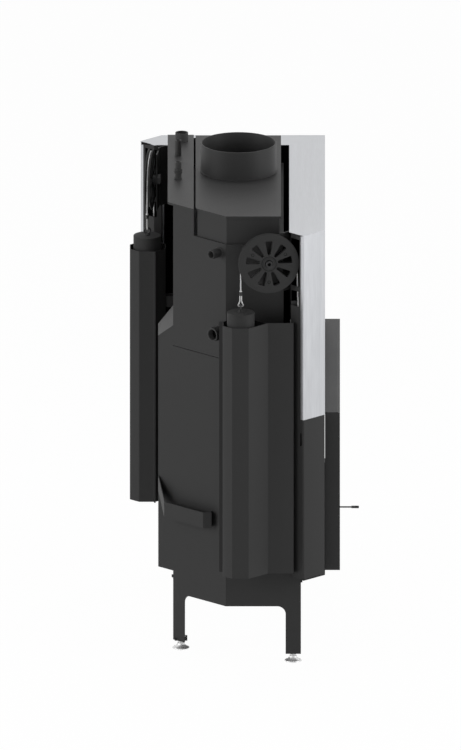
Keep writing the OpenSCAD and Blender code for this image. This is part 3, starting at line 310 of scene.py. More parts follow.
def coat(name, color, roughness=0.7, fine=900.0, cloud=0.08, speck=0.12, depth=0.2, specular=0.3,
         metallic=0.0):
    """Finish without a direction, for paint, iron, clay and polished feet: a cloudy tone, fine specks
    and an orange-peel skin."""
    finish = Finish(name, color, roughness, metallic, specular)
    grain = finish.use(GRAIN, Fine=fine, Cloud=cloud, Speck=speck)
    finish.tint(grain.outputs["Tone"]).skin(grain.outputs["Height"], depth)
    finish.vary(grain.outputs["Large"], 0.12)
    return finish.material


def brushed(name, color, stretch, fine=420.0, depth=0.3, roughness=0.34, metallic=0.9):
    """Bright metal, as sheet, bar or rope, with hairlines along the axis whose stretch is small."""
    finish = Finish(name, color, roughness, metallic=metallic)
    lines = finish.use(BRUSH, Stretch=stretch, Fine=fine, Depth=depth)
    height = lines.outputs["Height"]
    finish.tint(lines.outputs["Tone"]).skin(height, 0.12, 0.0002).vary(height, 0.2)
    return finish.material


CHARCOAL = coat("charcoal_coat", (0.060, 0.060, 0.060), roughness=0.52, specular=0.24)
# Heat-proof soot black for the sooty steel, also used as painted shade: black plates inside the bright
# housing and black rings in the pulleys' creases.
SOOT_AND_PAINTED_SHADE = coat("heat_proof_black_and_painted_shade", (0.010, 0.010, 0.010), roughness=0.85, cloud=0.3, specular=0.05)
WEIGHT = coat("weight_coat", (0.056, 0.056, 0.056), roughness=0.7)
PIPE = coat("pipe_coat", (0.072, 0.072, 0.071), roughness=0.6, fine=1500.0)
BOLT = coat("blackened_steel", (0.065, 0.065, 0.066), roughness=0.5, fine=1600.0, specular=0.35)
BOILER = coat("boiler_plate", (0.11, 0.11, 0.115), roughness=0.55, cloud=0.4)
IRON = coat("sand_cast_iron", (0.06, 0.06, 0.062), roughness=0.75, fine=420.0, speck=0.4, depth=0.7)
FIRECLAY = coat("pressed_fireclay", (0.60, 0.53, 0.40), roughness=0.92, fine=300.0, cloud=0.25, speck=0.25,
                depth=0.6, specular=0.2)
SEAL = coat("glass_fibre_seal", (0.30, 0.30, 0.29), roughness=0.95, fine=700.0, speck=0.6, depth=0.8,
            specular=0.1)
SHEET_STEEL = (0.54, 0.55, 0.57)
SHEET_END = brushed("brushed_end", SHEET_STEEL, (1.0, 1.0, 0.04), depth=0.4)
SHEET_FRONT = brushed("brushed_front", SHEET_STEEL, (0.04, 1.0, 1.0), depth=0.4)
SHEET_SIDE = brushed("brushed_side", SHEET_STEEL, (1.0, 0.04, 1.0), depth=0.4)
ZINC = brushed("zinc_bar", (0.62, 0.63, 0.66), (1.0, 1.0, 0.05), roughness=0.4)
FOOT = coat("polished_foot", (0.95, 0.95, 0.95), roughness=0.4, cloud=0.02, speck=0.02, depth=0.02,
            specular=0.5, metallic=0.6)
ROPE = brushed("wire_rope", (0.86, 0.86, 0.86), (1.0, 1.0, 0.3), fine=900.0, depth=0.5, roughness=0.5,
               metallic=0.3)
BRASS = brushed("turned_brass", (0.74, 0.55, 0.24), (1.0, 1.0, 0.2), depth=0.15, roughness=0.35,
                metallic=1.0)


def ceramic_glass():
    """Smoked glass, which lets the inside show by its alpha."""
    finish = Finish("ceramic_glass", (0.6, 0.62, 0.63), 0.03)
    finish.shader.inputs["Alpha"].default_value = 0.22
    grain = finish.use(GRAIN, Fine=30.0, Cloud=0.05, Speck=0.02)
    finish.tint(grain.outputs["Tone"]).vary(grain.outputs["Large"], 0.02)
    return finish.material


GLASS = ceramic_glass()

SLOT_MATERIALS = {
    "charcoal_paint": CHARCOAL, "weight_paint": WEIGHT, "soot_steel": SOOT_AND_PAINTED_SHADE, "brushed_sheet": SHEET_FRONT,
    "zinc_steel": ZINC, "polished_feet": FOOT, "wire_rope": ROPE, "dark_bolt": BOLT, "dark_pipe": PIPE,
    "boiler_steel": BOILER, "grey_iron": IRON, "fireclay": FIRECLAY, "ceramic_glass": GLASS,
    "seal_rope": SEAL, "brass_shoe": BRASS,
}
NODE_MATERIALS = {"housing_near_end": SHEET_END, "housing_far_end": SHEET_END, "guide_rails": BOLT,
                  "housing_side": SHEET_SIDE, "casing_brackets": CHARCOAL}


# ---------------------------------------------------------------- building surfaces
CORNER = np.array([0.491, -0.216])
NEAR_TIP = np.array([-0.490, -0.216])
FAR_TIP = np.array([0.491, 0.279])


def mm(*values):
    """Millimetres as an array in metres."""
    return np.asarray(values, float) / 1000.0


def near(points):
    """Arm-end coordinates (from the tip, into the insert, up) at the near end."""
    p = np.asarray(points, float)
    return np.stack([p[..., 0] + NEAR_TIP[0], p[..., 1] + NEAR_TIP[1], p[..., 2]], -1)


def far(points):
    """Arm-end coordinates at the far end: the same, mirrored about the 45 degree line."""
    p = np.asarray(points, float)
    return np.stack([FAR_TIP[0] - p[..., 1], FAR_TIP[1] - p[..., 0], p[..., 2]], -1)


# for each end, its placing function and how far its arm's tip stands beyond the body's wall, in metres
ENDS = {"near": (near, 0.075), "far": (far, 0.088)}


def grid_faces(nu, nv, round_u=False, round_v=False):
    """Quads of a grid of nu by nv points, closed round either way."""
    u = np.arange(nu if round_u else nu - 1)[:, None]
    v = np.arange(nv if round_v else nv - 1)[None, :]
    u2, v2 = (u + 1) % nu, (v + 1) % nv
    corners = [u * nv + v, u2 * nv + v, u2 * nv + v2, u * nv + v2]
    return np.stack([c.ravel() for c in corners], 1)


def shell(outer, inner, keep):
    """Sheet between two grids of points, with walls round every cell that isn't kept."""
    nu, nv = keep.shape
    index = np.arange((nu + 1) * (nv + 1)).reshape(nu + 1, nv + 1)
    under = index.size
    iu, iv = np.nonzero(keep)
    a, b, c, d = index[iu, iv], index[iu + 1, iv], index[iu + 1, iv + 1], index[iu, iv + 1]
    faces = [np.stack([a, b, c, d], 1), np.stack([a, d, c, b], 1) + under]
    ring = np.pad(keep, 1)
    for du, dv, first, second in ((-1, 0, a, d), (1, 0, b, c), (0, -1, a, b), (0, 1, d, c)):
        open_side = ~ring[iu + 1 + du, iv + 1 + dv]
        p, q = first[open_side], second[open_side]
        faces.append(np.stack([p, q, q + under, p + under], 1))
    return np.concatenate([outer.reshape(-1, 3), inner.reshape(-1, 3)]), np.concatenate(faces)


def lathe(profile, segments=64, centre=(0.0, 0.0, 0.0), closed=False):
    """Profile (radius, height) turned about the vertical axis through a centre."""
    p = np.asarray(profile, float)
    turn = np.linspace(0, 2 * math.pi, segments, endpoint=False)[:, None]
    radius, height = p[None, :, 0], p[None, :, 1]
    points = np.stack([radius * np.cos(turn), radius * np.sin(turn), height + 0 * turn], -1)
    return points.reshape(-1, 3) + np.asarray(centre), grid_faces(segments, len(p), True, closed)


def rounded(corners, radii, steps, closed=False):
    """Polyline whose corners become arcs. With a and b the rays from an arc's centre to its two ends,
    its points are centre + (a sin((1 - t) sweep) + b sin(t sweep)) / sin(sweep)."""
    pts = [np.asarray(c, float) for c in corners]
    out = []
    count = len(pts)
    for i, p in enumerate(pts):
        if not closed and i in (0, count - 1) or radii[i] == 0:
            out.append(p)
            continue
        a, b = pts[i - 1] - p, pts[(i + 1) % count] - p
        la, lb = np.linalg.norm(a), np.linalg.norm(b)
        a, b = a / la, b / lb
        half = math.acos(max(-1.0, min(1.0, float(a @ b)))) / 2
        if half > math.pi / 2 - 1e-4:
            out.append(p)
            continue
        reach = min(radii[i] / math.tan(half), la * 0.49, lb * 0.49)
        r = reach * math.tan(half)
        centre = p + (a + b) / np.linalg.norm(a + b) * r / math.sin(half)
        start, end = p + a * reach - centre, p + b * reach - centre
        sweep = math.pi - 2 * half
        for t in np.linspace(0, 1, steps + 1):
            mixed = start * math.sin((1 - t) * sweep) + end * math.sin(t * sweep)
            out.append(centre + mixed / math.sin(sweep))
    return np.array(out)


def frames(path, closed=False):
    """Side and up at each point of a path, square to its tangent, turned as little as possible."""
    p = np.asarray(path, float)
    if closed:
        tangent = np.roll(p, -1, 0) - np.roll(p, 1, 0)
    else:
        tangent = np.gradient(p, axis=0)
    tangent /= np.linalg.norm(tangent, axis=1, keepdims=True)
    side = np.zeros_like(p)
    start = np.cross(tangent[0], [0.0, 0.0, 1.0])
    if np.linalg.norm(start) < 1e-3:
        start = np.array([1.0, 0.0, 0.0])
    side[0] = start / np.linalg.norm(start)
    for i in range(1, len(p)):
        step = side[i - 1] - tangent[i] * (side[i - 1] @ tangent[i])
        side[i] = step / np.linalg.norm(step)
    return side, np.cross(tangent, side)


def tube(path, radius, sides=12, closed=False, lobes=0, lay=0.03, depth=0.0):
    """Round bar along a path: centre + r (cos a * side + sin a * up), capped, its radius lobed for strands
    as r (1 - depth |sin(lobes / 2 (a - 2 pi s / lay))|)."""
    p = np.asarray(path, float)
    side, up = frames(p, closed)
    run = np.concatenate([[0.0], np.cumsum(np.linalg.norm(np.diff(p, axis=0), axis=1))])
    angle = np.linspace(0, 2 * math.pi, sides, endpoint=False)
    r = np.full((len(p), sides), radius)
    if lobes:
        twisted = angle[None, :] - 2 * math.pi * run[:, None] / lay
        r = r * (1 - depth * np.abs(np.sin(lobes / 2 * twisted)))
    points = p[:, None, :] + r[..., None] * (
        np.cos(angle)[None, :, None] * side[:, None, :] + np.sin(angle)[None, :, None] * up[:, None, :])
    verts, faces = points.reshape(-1, 3), grid_faces(len(p), sides, closed, True)
    if closed:
        return verts, faces
    ends = np.stack([p[0], p[-1]])
    n = len(verts)
    k = np.arange(sides)
    low = np.stack([k * 0 + n, (k + 1) % sides, k, k * 0 + n], 1)
    high = np.stack([k * 0 + n + 1, n - sides + k, n - sides + (k + 1) % sides, k * 0 + n + 1], 1)
    return np.concatenate([verts, ends]), np.concatenate([faces, low, high])


def slab(low, high):
    """A box between two corners: low + (0 or 1 on each axis) * (high - low)."""
    low, high = np.asarray(low, float), np.asarray(high, float)
    pick = np.array([[x, y, z] for x in (0, 1) for y in (0, 1) for z in (0, 1)])
    verts = low + pick * (high - low)
    faces = [[0, 1, 3, 2], [4, 6, 7, 5], [0, 4, 5, 1], [2, 3, 7, 6], [0, 2, 6, 4], [1, 5, 7, 3]]
    return verts, np.array(faces)


def prism(outline, z0, z1):
    """A convex outline raised from z0 to z1, with a fan from its middle at both ends."""
    o = np.asarray(outline, float)
    n = len(o)
    rings = [np.column_stack([o, np.full(n, z)]) for z in (z0, z1)]
    mid = [np.append(o.mean(0), z) for z in (z0, z1)]
    verts = np.concatenate([rings[0], rings[1], mid])
    k = np.arange(n)
    j = (k + 1) % n
    walls = np.stack([k, j, j + n, k + n], 1)
    floor = np.stack([k * 0 + 2 * n, j, k, k * 0 + 2 * n], 1)
    roof = np.stack([k * 0 + 2 * n + 1, k + n, j + n, k * 0 + 2 * n + 1], 1)
    return verts, np.concatenate([walls, floor, roof])


def hexagon(radius, centre=(0.0, 0.0), turned=0.0):
    """Six corners on a circle, the first one turned by an angle."""
    turn = np.linspace(0, 2 * math.pi, 6, endpoint=False) + turned
    return np.stack([centre[0] + radius * np.cos(turn), centre[1] + radius * np.sin(turn)], 1)


def placed_by(parts, place):
    """Parts with their points moved by a function."""
    return [(place(v), f) for v, f in parts]


def make_piece(name, parts, material, body, nodes, angle=35.0):
    """Joins parts into one mesh, with doubles merged, faces turned outwards and edges above an angle kept
    sharp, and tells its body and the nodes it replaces."""
    verts, faces, total = [], [], 0
    for v, f in parts:
        verts.append(v)
        faces.append(np.asarray(f) + total)
        total += len(v)
    mesh = bpy.data.meshes.new(name)
    quads = np.concatenate(faces).tolist()
    clean = [q[:3] if q[3] == q[0] else q for q in quads]
    mesh.from_pydata(np.concatenate(verts).tolist(), [], clean)
    work = bmesh.new()
    work.from_mesh(mesh)
    bmesh.ops.remove_doubles(work, verts=work.verts, dist=2e-6)
    bmesh.ops.recalc_face_normals(work, faces=work.faces)
    work.to_mesh(mesh)
    work.free()
    mesh.shade_smooth()
    mesh.set_sharp_from_angle(angle=math.radians(angle))
    mesh.materials.append(material)
    piece = bpy.data.objects.new(name, mesh)
    bpy.context.scene.collection.objects.link(piece)
    if body:
        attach(piece, body)
    if nodes:
        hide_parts(*nodes)
    return piece


# ---------------------------------------------------------------- folded sheets
def fold(path, depth0, depth1, z0, z1, bend=0.0035, holes=()):
    """Sheet folded along a path (from the tip, into the insert), between two depths to its right.
    Its corners are arcs, and each hole is (s0, s1, z0, z1), with s measured along the path as given."""
    corners = [np.asarray(c, float) / 1000.0 for c in path]
    depth0, depth1, z0, z1 = mm(depth0, depth1, z0, z1)
    legs = [np.linalg.norm(b - a) for a, b in zip(corners, corners[1:])]
    given = np.concatenate([[0.0], np.cumsum(legs)])
    points, normals, runs = [], [], []

    def right(v):
        """Unit normal to the right of a direction."""
        return np.array([v[1], -v[0]]) / np.linalg.norm(v)

    for i, p in enumerate(corners):
        if i in (0, len(corners) - 1):
            leg = corners[1] - p if i == 0 else p - corners[i - 1]
            points.append(p)
            normals.append(right(leg))
            runs.append(given[i])
            continue
        before, after = right(p - corners[i - 1]), right(corners[i + 1] - p)
        turn = before[0] * after[1] - before[1] * after[0]
        radius = bend + (depth0 if turn < 0 else -depth1)
        angle = abs(math.atan2(turn, float(before @ after)))
        reach = abs(radius) * math.tan(angle / 2)
        way = (p - corners[i - 1]) / np.linalg.norm(p - corners[i - 1])
        centre = p - way * reach + (before if turn < 0 else -before) * radius
        steps = 5
        for t in np.linspace(0, 1, steps):
            normal = before * math.sin((1 - t) * angle) + after * math.sin(t * angle)
            normal = normal / np.linalg.norm(normal)
            points.append(centre - (normal if turn < 0 else -normal) * radius)
            normals.append(normal)
            runs.append(given[i] + reach * (2 * t - 1))
    points, normals, runs = np.array(points), np.array(normals), np.array(runs)
    cuts = np.array([[h[0], h[1]] for h in holes]).reshape(-1) / 1000.0
    lines = np.unique(np.round(np.concatenate([runs, cuts]), 7))
    along = np.stack([np.interp(lines, runs, points[:, k]) for k in (0, 1)], 1)
    facing = np.stack([np.interp(lines, runs, normals[:, k]) for k in (0, 1)], 1)
    facing /= np.linalg.norm(facing, axis=1, keepdims=True)
    sills = np.array([[h[2], h[3]] for h in holes]).reshape(-1) / 1000.0
    levels = np.unique(np.concatenate([[z0, z1], sills]))
    keep = np.ones((len(lines) - 1, len(levels) - 1), bool)
    mid_s, mid_z = (lines[1:] + lines[:-1]) / 2, (levels[1:] + levels[:-1]) / 2
    for s0, s1, h0, h1 in holes:
        inside_s = (mid_s > s0 / 1000.0) & (mid_s < s1 / 1000.0)
        inside_z = (mid_z > h0 / 1000.0) & (mid_z < h1 / 1000.0)
        keep &= ~(inside_s[:, None] & inside_z[None, :])

    def face(depth):
        """Grid of one face: the line plus depth times its normal, at every level."""
        flat = along + facing * depth
        grid = np.zeros((len(lines), len(levels), 3))
        grid[..., :2] = flat[:, None, :]
        grid[..., 2] = levels[None, :]
        return grid

    return shell(face(depth0), face(depth1), keep)


# ---------------------------------------------------------------- sheet metal
END_CUT, COLUMN_W, COLUMN_IN, WINDOW_IN = 57.5, 93.2, 56.8, 44.8
COLUMN_LOW, HOUSING_LOW, HOUSING_TOP = 253.0, 698.0, 1210.5
CASING_LOW, CASING_TOP = 268.0, 965.6
HOUSING_SHEET, CASING_SHEET, END_FLANGE = 1.5, 2.0, 11.3
STRIP_TOP = 1.2385
ROOT2 = math.sqrt(2.0)


def column_sheet():
    """The end column with its slot, and with the pulley and rope windows that run round its rear bend."""
    rear = COLUMN_W - END_CUT
    path = [(END_CUT, 0.0), (0.0, END_CUT), (rear, COLUMN_W), (COLUMN_IN, COLUMN_W)]
    end = COLUMN_W * ROOT2 + WINDOW_IN - rear
    pulley_window = (69.6 * ROOT2, end, 1066.0, 1197.0)
    rope_window = (71.6 * ROOT2, end, 1010.0, 1052.0)
    slot = (63.6 * ROOT2, 67.6 * ROOT2, 624.0, 659.0)
    holes = [pulley_window, rope_window, slot]
    return fold(path, HOUSING_SHEET, 2 * HOUSING_SHEET, COLUMN_LOW, HOUSING_TOP, holes=holes)


def casing_path(wall):
    """Outline of a counterweight casing in mm, from the body round the weight to the column."""
    out, bend, flat = wall - 116.0, 249.0, wall - 64.15
    half = bend - 44.6
    return [(28.07, 83.75), (flat, 83.75), (flat, half - (flat - out)), (out, half), (out, bend),
            (out + 24.6, 273.6), (wall - 51.0, 273.6), (wall - 51.0, 283.6)]


def back_shell_path(wall):
    """Outline of the shell behind a counterweight, in mm."""
    lap, back, flat = wall - 49.0, wall - 22.0, wall - 62.15
    high = 271.6 - (back - lap)
    low = high - 44.0
    return [(flat, 93.75), (flat, low - (back - flat)), (back, low), (back, high), (lap, 271.6),
            (lap, 283.6)]


def make_sheets():
    """Columns, housing ends, casings and back shells, with round bends."""
    shells = []
    for end, (place, wall_m) in ENDS.items():
        wall = wall_m * 1000.0
        make_piece(end + "_column_sheet", placed_by([column_sheet()], place), CHARCOAL, "insert",
                   [end + "_column"])
        flange = END_FLANGE / ROOT2
        path = [(END_CUT, 0.0), (0.0, END_CUT), (flange, END_CUT + flange)]
        plate = fold(path, 0.0, HOUSING_SHEET, HOUSING_LOW, HOUSING_TOP, bend=0.003)
        make_piece(end + "_end_sheet", placed_by([plate], place), SHEET_END, "insert",
                   ["housing_%s_end" % end])
        casing = fold(casing_path(wall), 0.0, CASING_SHEET, CASING_LOW, CASING_TOP)
        make_piece(end + "_casing_sheet", placed_by([casing], place), CHARCOAL, "insert",
                   [end + "_weight_casing"])
        back = fold(back_shell_path(wall), 0.0, CASING_SHEET, CASING_LOW, CASING_TOP)
        shells += placed_by([back], place)
    make_piece("back_shell_sheets", shells, CHARCOAL, "insert", ["casing_back_shells"])


def node_box(name):
    """Lowest and highest corner of a CAD node's mesh."""
    mesh = frame["nodes"][name].data
    points = np.empty(len(mesh.vertices) * 3)
    mesh.vertices.foreach_get("co", points)
    points = points.reshape(-1, 3)
    return points.min(0), points.max(0)


def make_painted_shade_linings():
    """Painted shade inside the bright housing: thin black plates under its roof and behind its front,
    where the inside lies in shade, and the strip that closes the gap behind the hood."""
    top, front, thick = HOUSING_TOP - 0.05, HOUSING_SHEET + 0.05, 0.3
    low = HOUSING_LOW + 1.0
    parts = []
    # painted shade: the black plates stand in for the dark inside the housing
    for place, end, deep in ((near, 978.0, 73.5), (far, 493.0, 86.5)):
        roof = [(60.0, 2.0), (2.6, 59.4), (2.6, deep), (end, deep), (end, 2.0)]
        parts += placed_by([prism(mm(*roof), mm(top - thick), mm(top))], place)
        parts += placed_by([slab(mm(64.0, front, low), mm(end, front + thick, top - thick))], place)
    make_piece("housing_painted_shade", parts, SOOT_AND_PAINTED_SHADE, "insert", ())
    (_, _, hood_foot), (hood_end, hood_back, _) = node_box("hood")
    (_, cover_front, _), _ = node_box("cover_plate")
    strip = slab((hood_end - 0.004, hood_back - 0.006, hood_foot),
                 (hood_end - 0.001, cover_front + 0.004, STRIP_TOP))
    make_piece("gap_closing_strip", [strip], CHARCOAL, "insert", ())


# ---------------------------------------------------------------- lift gear
PULLEY_IN, PULLEY_OUT, PULLEY_W, PULLEY_UP = math.radians(6.5), 0.061, 0.15075, 1.132
ROPE_RUN, ROPE_R = 0.0756, 0.002
RIVET_CIRCLE = 0.051
RIVETS = [(RIVET_CIRCLE * math.cos(a), RIVET_CIRCLE * math.sin(a), 0.0)
          for a in np.radians([60.0, 180.0, 300.0])]
LUG_LOW, LUG_HIGH = 0.688, 1.118  # where a door rope begins, with the door down and up


def pulley_frame(points, wall):
    """Pulley coordinates (up, across, along the axle to the outside) in arm-end coordinates."""
    p = np.asarray(points, float)
    e, w = -p[..., 2], p[..., 1]
    c, s = math.cos(PULLEY_IN), math.sin(PULLEY_IN)
    inward = e * c - w * s + wall - PULLEY_OUT
    return np.stack([inward, e * s + w * c + PULLEY_W, p[..., 0] + PULLEY_UP], -1)


def ray_hits(outline, centre, ways):
    """Where rays from a centre cross a closed outline: for each way, the nearest segment crossing."""
    a = np.asarray(outline, float) - centre
    b = np.roll(a, -1, 0)
    d = b - a
    cross = ways[:, None, 0] * d[None, :, 1] - ways[:, None, 1] * d[None, :, 0]
    cross = np.where(np.abs(cross) < 1e-12, 1e-12, cross)
    t = (a[None, :, 0] * d[None, :, 1] - a[None, :, 1] * d[None, :, 0]) / cross
    u = (a[None, :, 0] * ways[:, None, 1] - a[None, :, 1] * ways[:, None, 0]) / cross
    good = (t > 0) & (u >= -1e-9) & (u <= 1 + 1e-9)
    t = np.where(good, t, np.inf).min(1)
    return centre + ways * t[:, None]


def pulley_wheel():
    """Wheel: grooved rim, hub and three rivet heads as turned profiles, and between rim and hub nine
    equal sectors of web, each ruled from the edge of its slot to the sector's edge."""
    half, hub, rim = 0.007, 0.0202, 0.072
    sectors, half_sector = 9, 20.0
    arcs = np.arange(-8, 9) * math.radians(half_sector / 8)
    radial = np.linspace(rim, hub, 9)[1:-1]
    sector = math.radians(half_sector)
    outer = np.stack([rim * np.cos(arcs), rim * np.sin(arcs)], 1)
    side = np.stack([radial * math.cos(sector), radial * math.sin(sector)], 1)
    inner = np.stack([hub * np.cos(arcs[::-1]), hub * np.sin(arcs[::-1])], 1)
    back = np.stack([radial[::-1] * math.cos(sector), -radial[::-1] * math.sin(sector)], 1)
    edge = np.concatenate([outer, side, inner, back])
    slot = rounded([(0.0242, -0.0036), (0.0628, -0.0103), (0.0628, 0.0103), (0.0242, 0.0036)],
                   [0.0034, 0.0032, 0.0032, 0.0034], 6, True)
    centre = np.array([0.0445, 0.0])
    ways = edge - centre
    ways /= np.linalg.norm(ways, axis=1, keepdims=True)
    cut = ray_hits(slot, centre, ways)
    soft = 0.0009
    wide = cut + ways * soft
    near_cut, dip = cut + ways * soft * 0.3, soft * 0.3
    rows = [(edge, half), (wide, half), (near_cut, half - dip), (cut, half - soft),
            (cut, soft - half), (near_cut, dip - half), (wide, -half), (edge, -half)]
    grid = np.stack([np.column_stack([flat, np.full(len(flat), z)]) for flat, z in rows])
    faces = grid_faces(len(rows), len(edge), False, True)
    parts = []
    for i in range(sectors):
        a = math.radians(2 * half_sector * i)
        spin = np.array([[math.cos(a), math.sin(a), 0], [-math.sin(a), math.cos(a), 0], [0, 0, 1]])
        parts.append((grid.reshape(-1, 3) @ spin, faces))
    groove = [(rim, half), (0.0806, half), (0.0813, half - 0.0003), (0.0815, half - 0.0009),
              (0.0812, half - 0.0019), (0.0740, 0.0030), (0.0734, 0.0018), (0.0733, 0.0)]
    mirrored = [(r, -z) for r, z in groove[-2::-1]]
    parts.append(lathe(groove + mirrored, 144))
    bore = [(hub, half), (0.0199, half - 0.0006), (0.0192, half - 0.0006), (0.0189, half), (0.0088, half),
            (0.00806, half - 0.0008), (0.00806, 0.0008 - half), (0.0088, -half), (hub, -half)]
    parts.append(lathe(bore, 144))
    dome = [(0.0, 0.0007), (0.0015, 0.0006), (0.0027, 0.0003), (0.0034, -0.0003), (0.0034, -0.002),
            (0.0, -0.002)]
    for rivet in RIVETS:
        parts.append(lathe([(r, z + half) for r, z in dome], 24, rivet))
    return parts


def shade_ring(radius, wide, height, centre=(0.0, 0.0, 0.0)):
    """Painted shade: a thin black ring in the crease where two turned pieces meet, a flat rectangle turned
    about a centre.
    """
    low, outer = height - 0.0004, radius + wide
    ring = [(radius, low), (outer, low), (outer, height), (radius, height)]
    return lathe(ring, 40, centre, True)


def wheel_shade_rings():
    """Painted shade of a pulley as black rings: in the groove round the hub and round the feet of its
    three rivets.
    """
    return [shade_ring(0.0189, 0.0009, 0.0070)] + [shade_ring(0.0033, 0.0009, 0.0073, rivet) for rivet in RIVETS]


def axle_parts():
    """Axle of a pulley: cap with a round socket, washer, shaft and spacer as one turned profile,
    a hexagon nut and the shaft's end."""
    cap = [(0.0, 0.0104), (0.0046, 0.0104), (0.0050, 0.0150), (0.0084, 0.0154), (0.0091, 0.0148),
           (0.0092, 0.0076), (0.0110, 0.0076), (0.0112, 0.0090), (0.0126, 0.0090), (0.0130, 0.0086),
           (0.0130, 0.0073), (0.0079, 0.0073), (0.0079, -0.0073), (0.0130, -0.0073), (0.0130, -0.0170),
           (0.0, -0.0170)]
    nut = hexagon(0.0150)
    stub = [(0.0, -0.0165), (0.0079, -0.0165), (0.0079, -0.0292), (0.0, -0.0295)]
    return [lathe(cap, 48), prism(nut, -0.028, -0.020), lathe(stub, 32)]


def rope_strand(line):
    """Six-stranded wire rope along a line of points."""
    return tube(line, ROPE_R, 18, lobes=6, lay=0.026, depth=0.22)


def rope_over(wall):
    """Half a turn of rope in the pulley's groove: running radius * (cos a, sin a)."""
    a = np.linspace(-math.pi / 2, math.pi / 2, 60)
    line = np.stack([ROPE_RUN * np.cos(a), ROPE_RUN * np.sin(a), 0 * a], 1)
    return rope_strand(pulley_frame(line, wall))


WEIGHT_TOP = 0.9986
ROPE_FOOT = WEIGHT_TOP + 0.05545


def weight_axis(wall):
    """Arm-end coordinates of a counterweight's middle line."""
    return wall - PULLEY_OUT - ROPE_RUN * math.sin(PULLEY_IN), PULLEY_W + ROPE_RUN * math.cos(PULLEY_IN)


def weight_parts():
    """Turned bar with soft edges and a countersunk eye hole, from its top down."""
    bar = [(0.0, -0.020), (0.004, -0.020), (0.004, -0.001), (0.005, 0.0), (0.0352, 0.0),
           (0.0364, -0.0005), (0.0370, -0.0018), (0.0370, -0.2832), (0.0352, -0.285), (0.0, -0.285)]
    return [lathe(bar, 96)]


def eye_parts():
    """Eye bolt: a collared shank turned about the weight's axis, and a closed ring above it."""
    ring = np.linspace(0, 2 * math.pi, 40, endpoint=False)
    eye_z = 0.01225
    eye = np.stack([0.008 * np.cos(ring), 0 * ring, eye_z + 0.008 * np.sin(ring)], 1)
    bolt = [(0.0, -0.02), (0.004, -0.02), (0.004, 0.0), (0.008, 0.0), (0.008, 0.0024), (0.0072, 0.003),
            (0.0046, 0.0032), (0.0036, 0.005), (0.0, 0.005)]
    return [lathe(bolt, 32), tube(eye, 0.0025, 14, closed=True)]


def loop_parts():
    """The rope's loop: strands side by side under the sleeve, which part and close round the eye.
    Its line is a polygon with rounded corners, at even steps of its length."""
    strand, apart, low, wide, top = 0.0021, 0.0305, 0.0157, 0.0078, 0.04945
    corners = [(strand, top), (strand, apart), (wide, low),
               (-wide, low), (-strand, apart), (-strand, top)]
    bent = rounded(corners, [0.0, 0.012, 0.0036, 0.0036, 0.012, 0.0], 8)
    run = np.concatenate([[0.0], np.cumsum(np.linalg.norm(np.diff(bent, axis=0), axis=1))])
    even = np.linspace(0.0, run[-1], 90)
    line = np.stack([0 * even, np.interp(even, run, bent[:, 0]), np.interp(even, run, bent[:, 1])], 1)
    return [tube(line, 0.0019, 14, lobes=6, lay=0.02, depth=0.2)]


def sleeve_parts():
    """Crimped sleeve with a groove round its middle, turned about the rope."""
    body = [(0.0, 0.04545), (0.0036, 0.04545), (0.0042, 0.0463), (0.0042, 0.0484), (0.0037, 0.0490),
            (0.0042, 0.0496), (0.0042, 0.0546), (0.0036, 0.05545), (0.0, 0.05545)]
    return [lathe(body, 28)]


def stub_parts():
    """The cut end of the rope, swollen where it is sealed."""
    bead = [(0.0, 0.0554), (0.0028, 0.0556), (0.0036, 0.0568), (0.0037, 0.0582), (0.0030, 0.0594),
            (0.0, 0.0598)]
    return [lathe(bead, 24)]


def door_rope_line(wall, high_z):
    """Straight line from the lug's sleeve up to where the rope meets the pulley."""
    low = np.array([wall - 0.0495, 0.060, LUG_LOW])
    top = np.array([wall - PULLEY_OUT + ROPE_RUN * math.sin(PULLEY_IN),
                    PULLEY_W - ROPE_RUN * math.cos(PULLEY_IN), high_z])
    return low + np.linspace(0, 1, 90)[:, None] * (top - low)


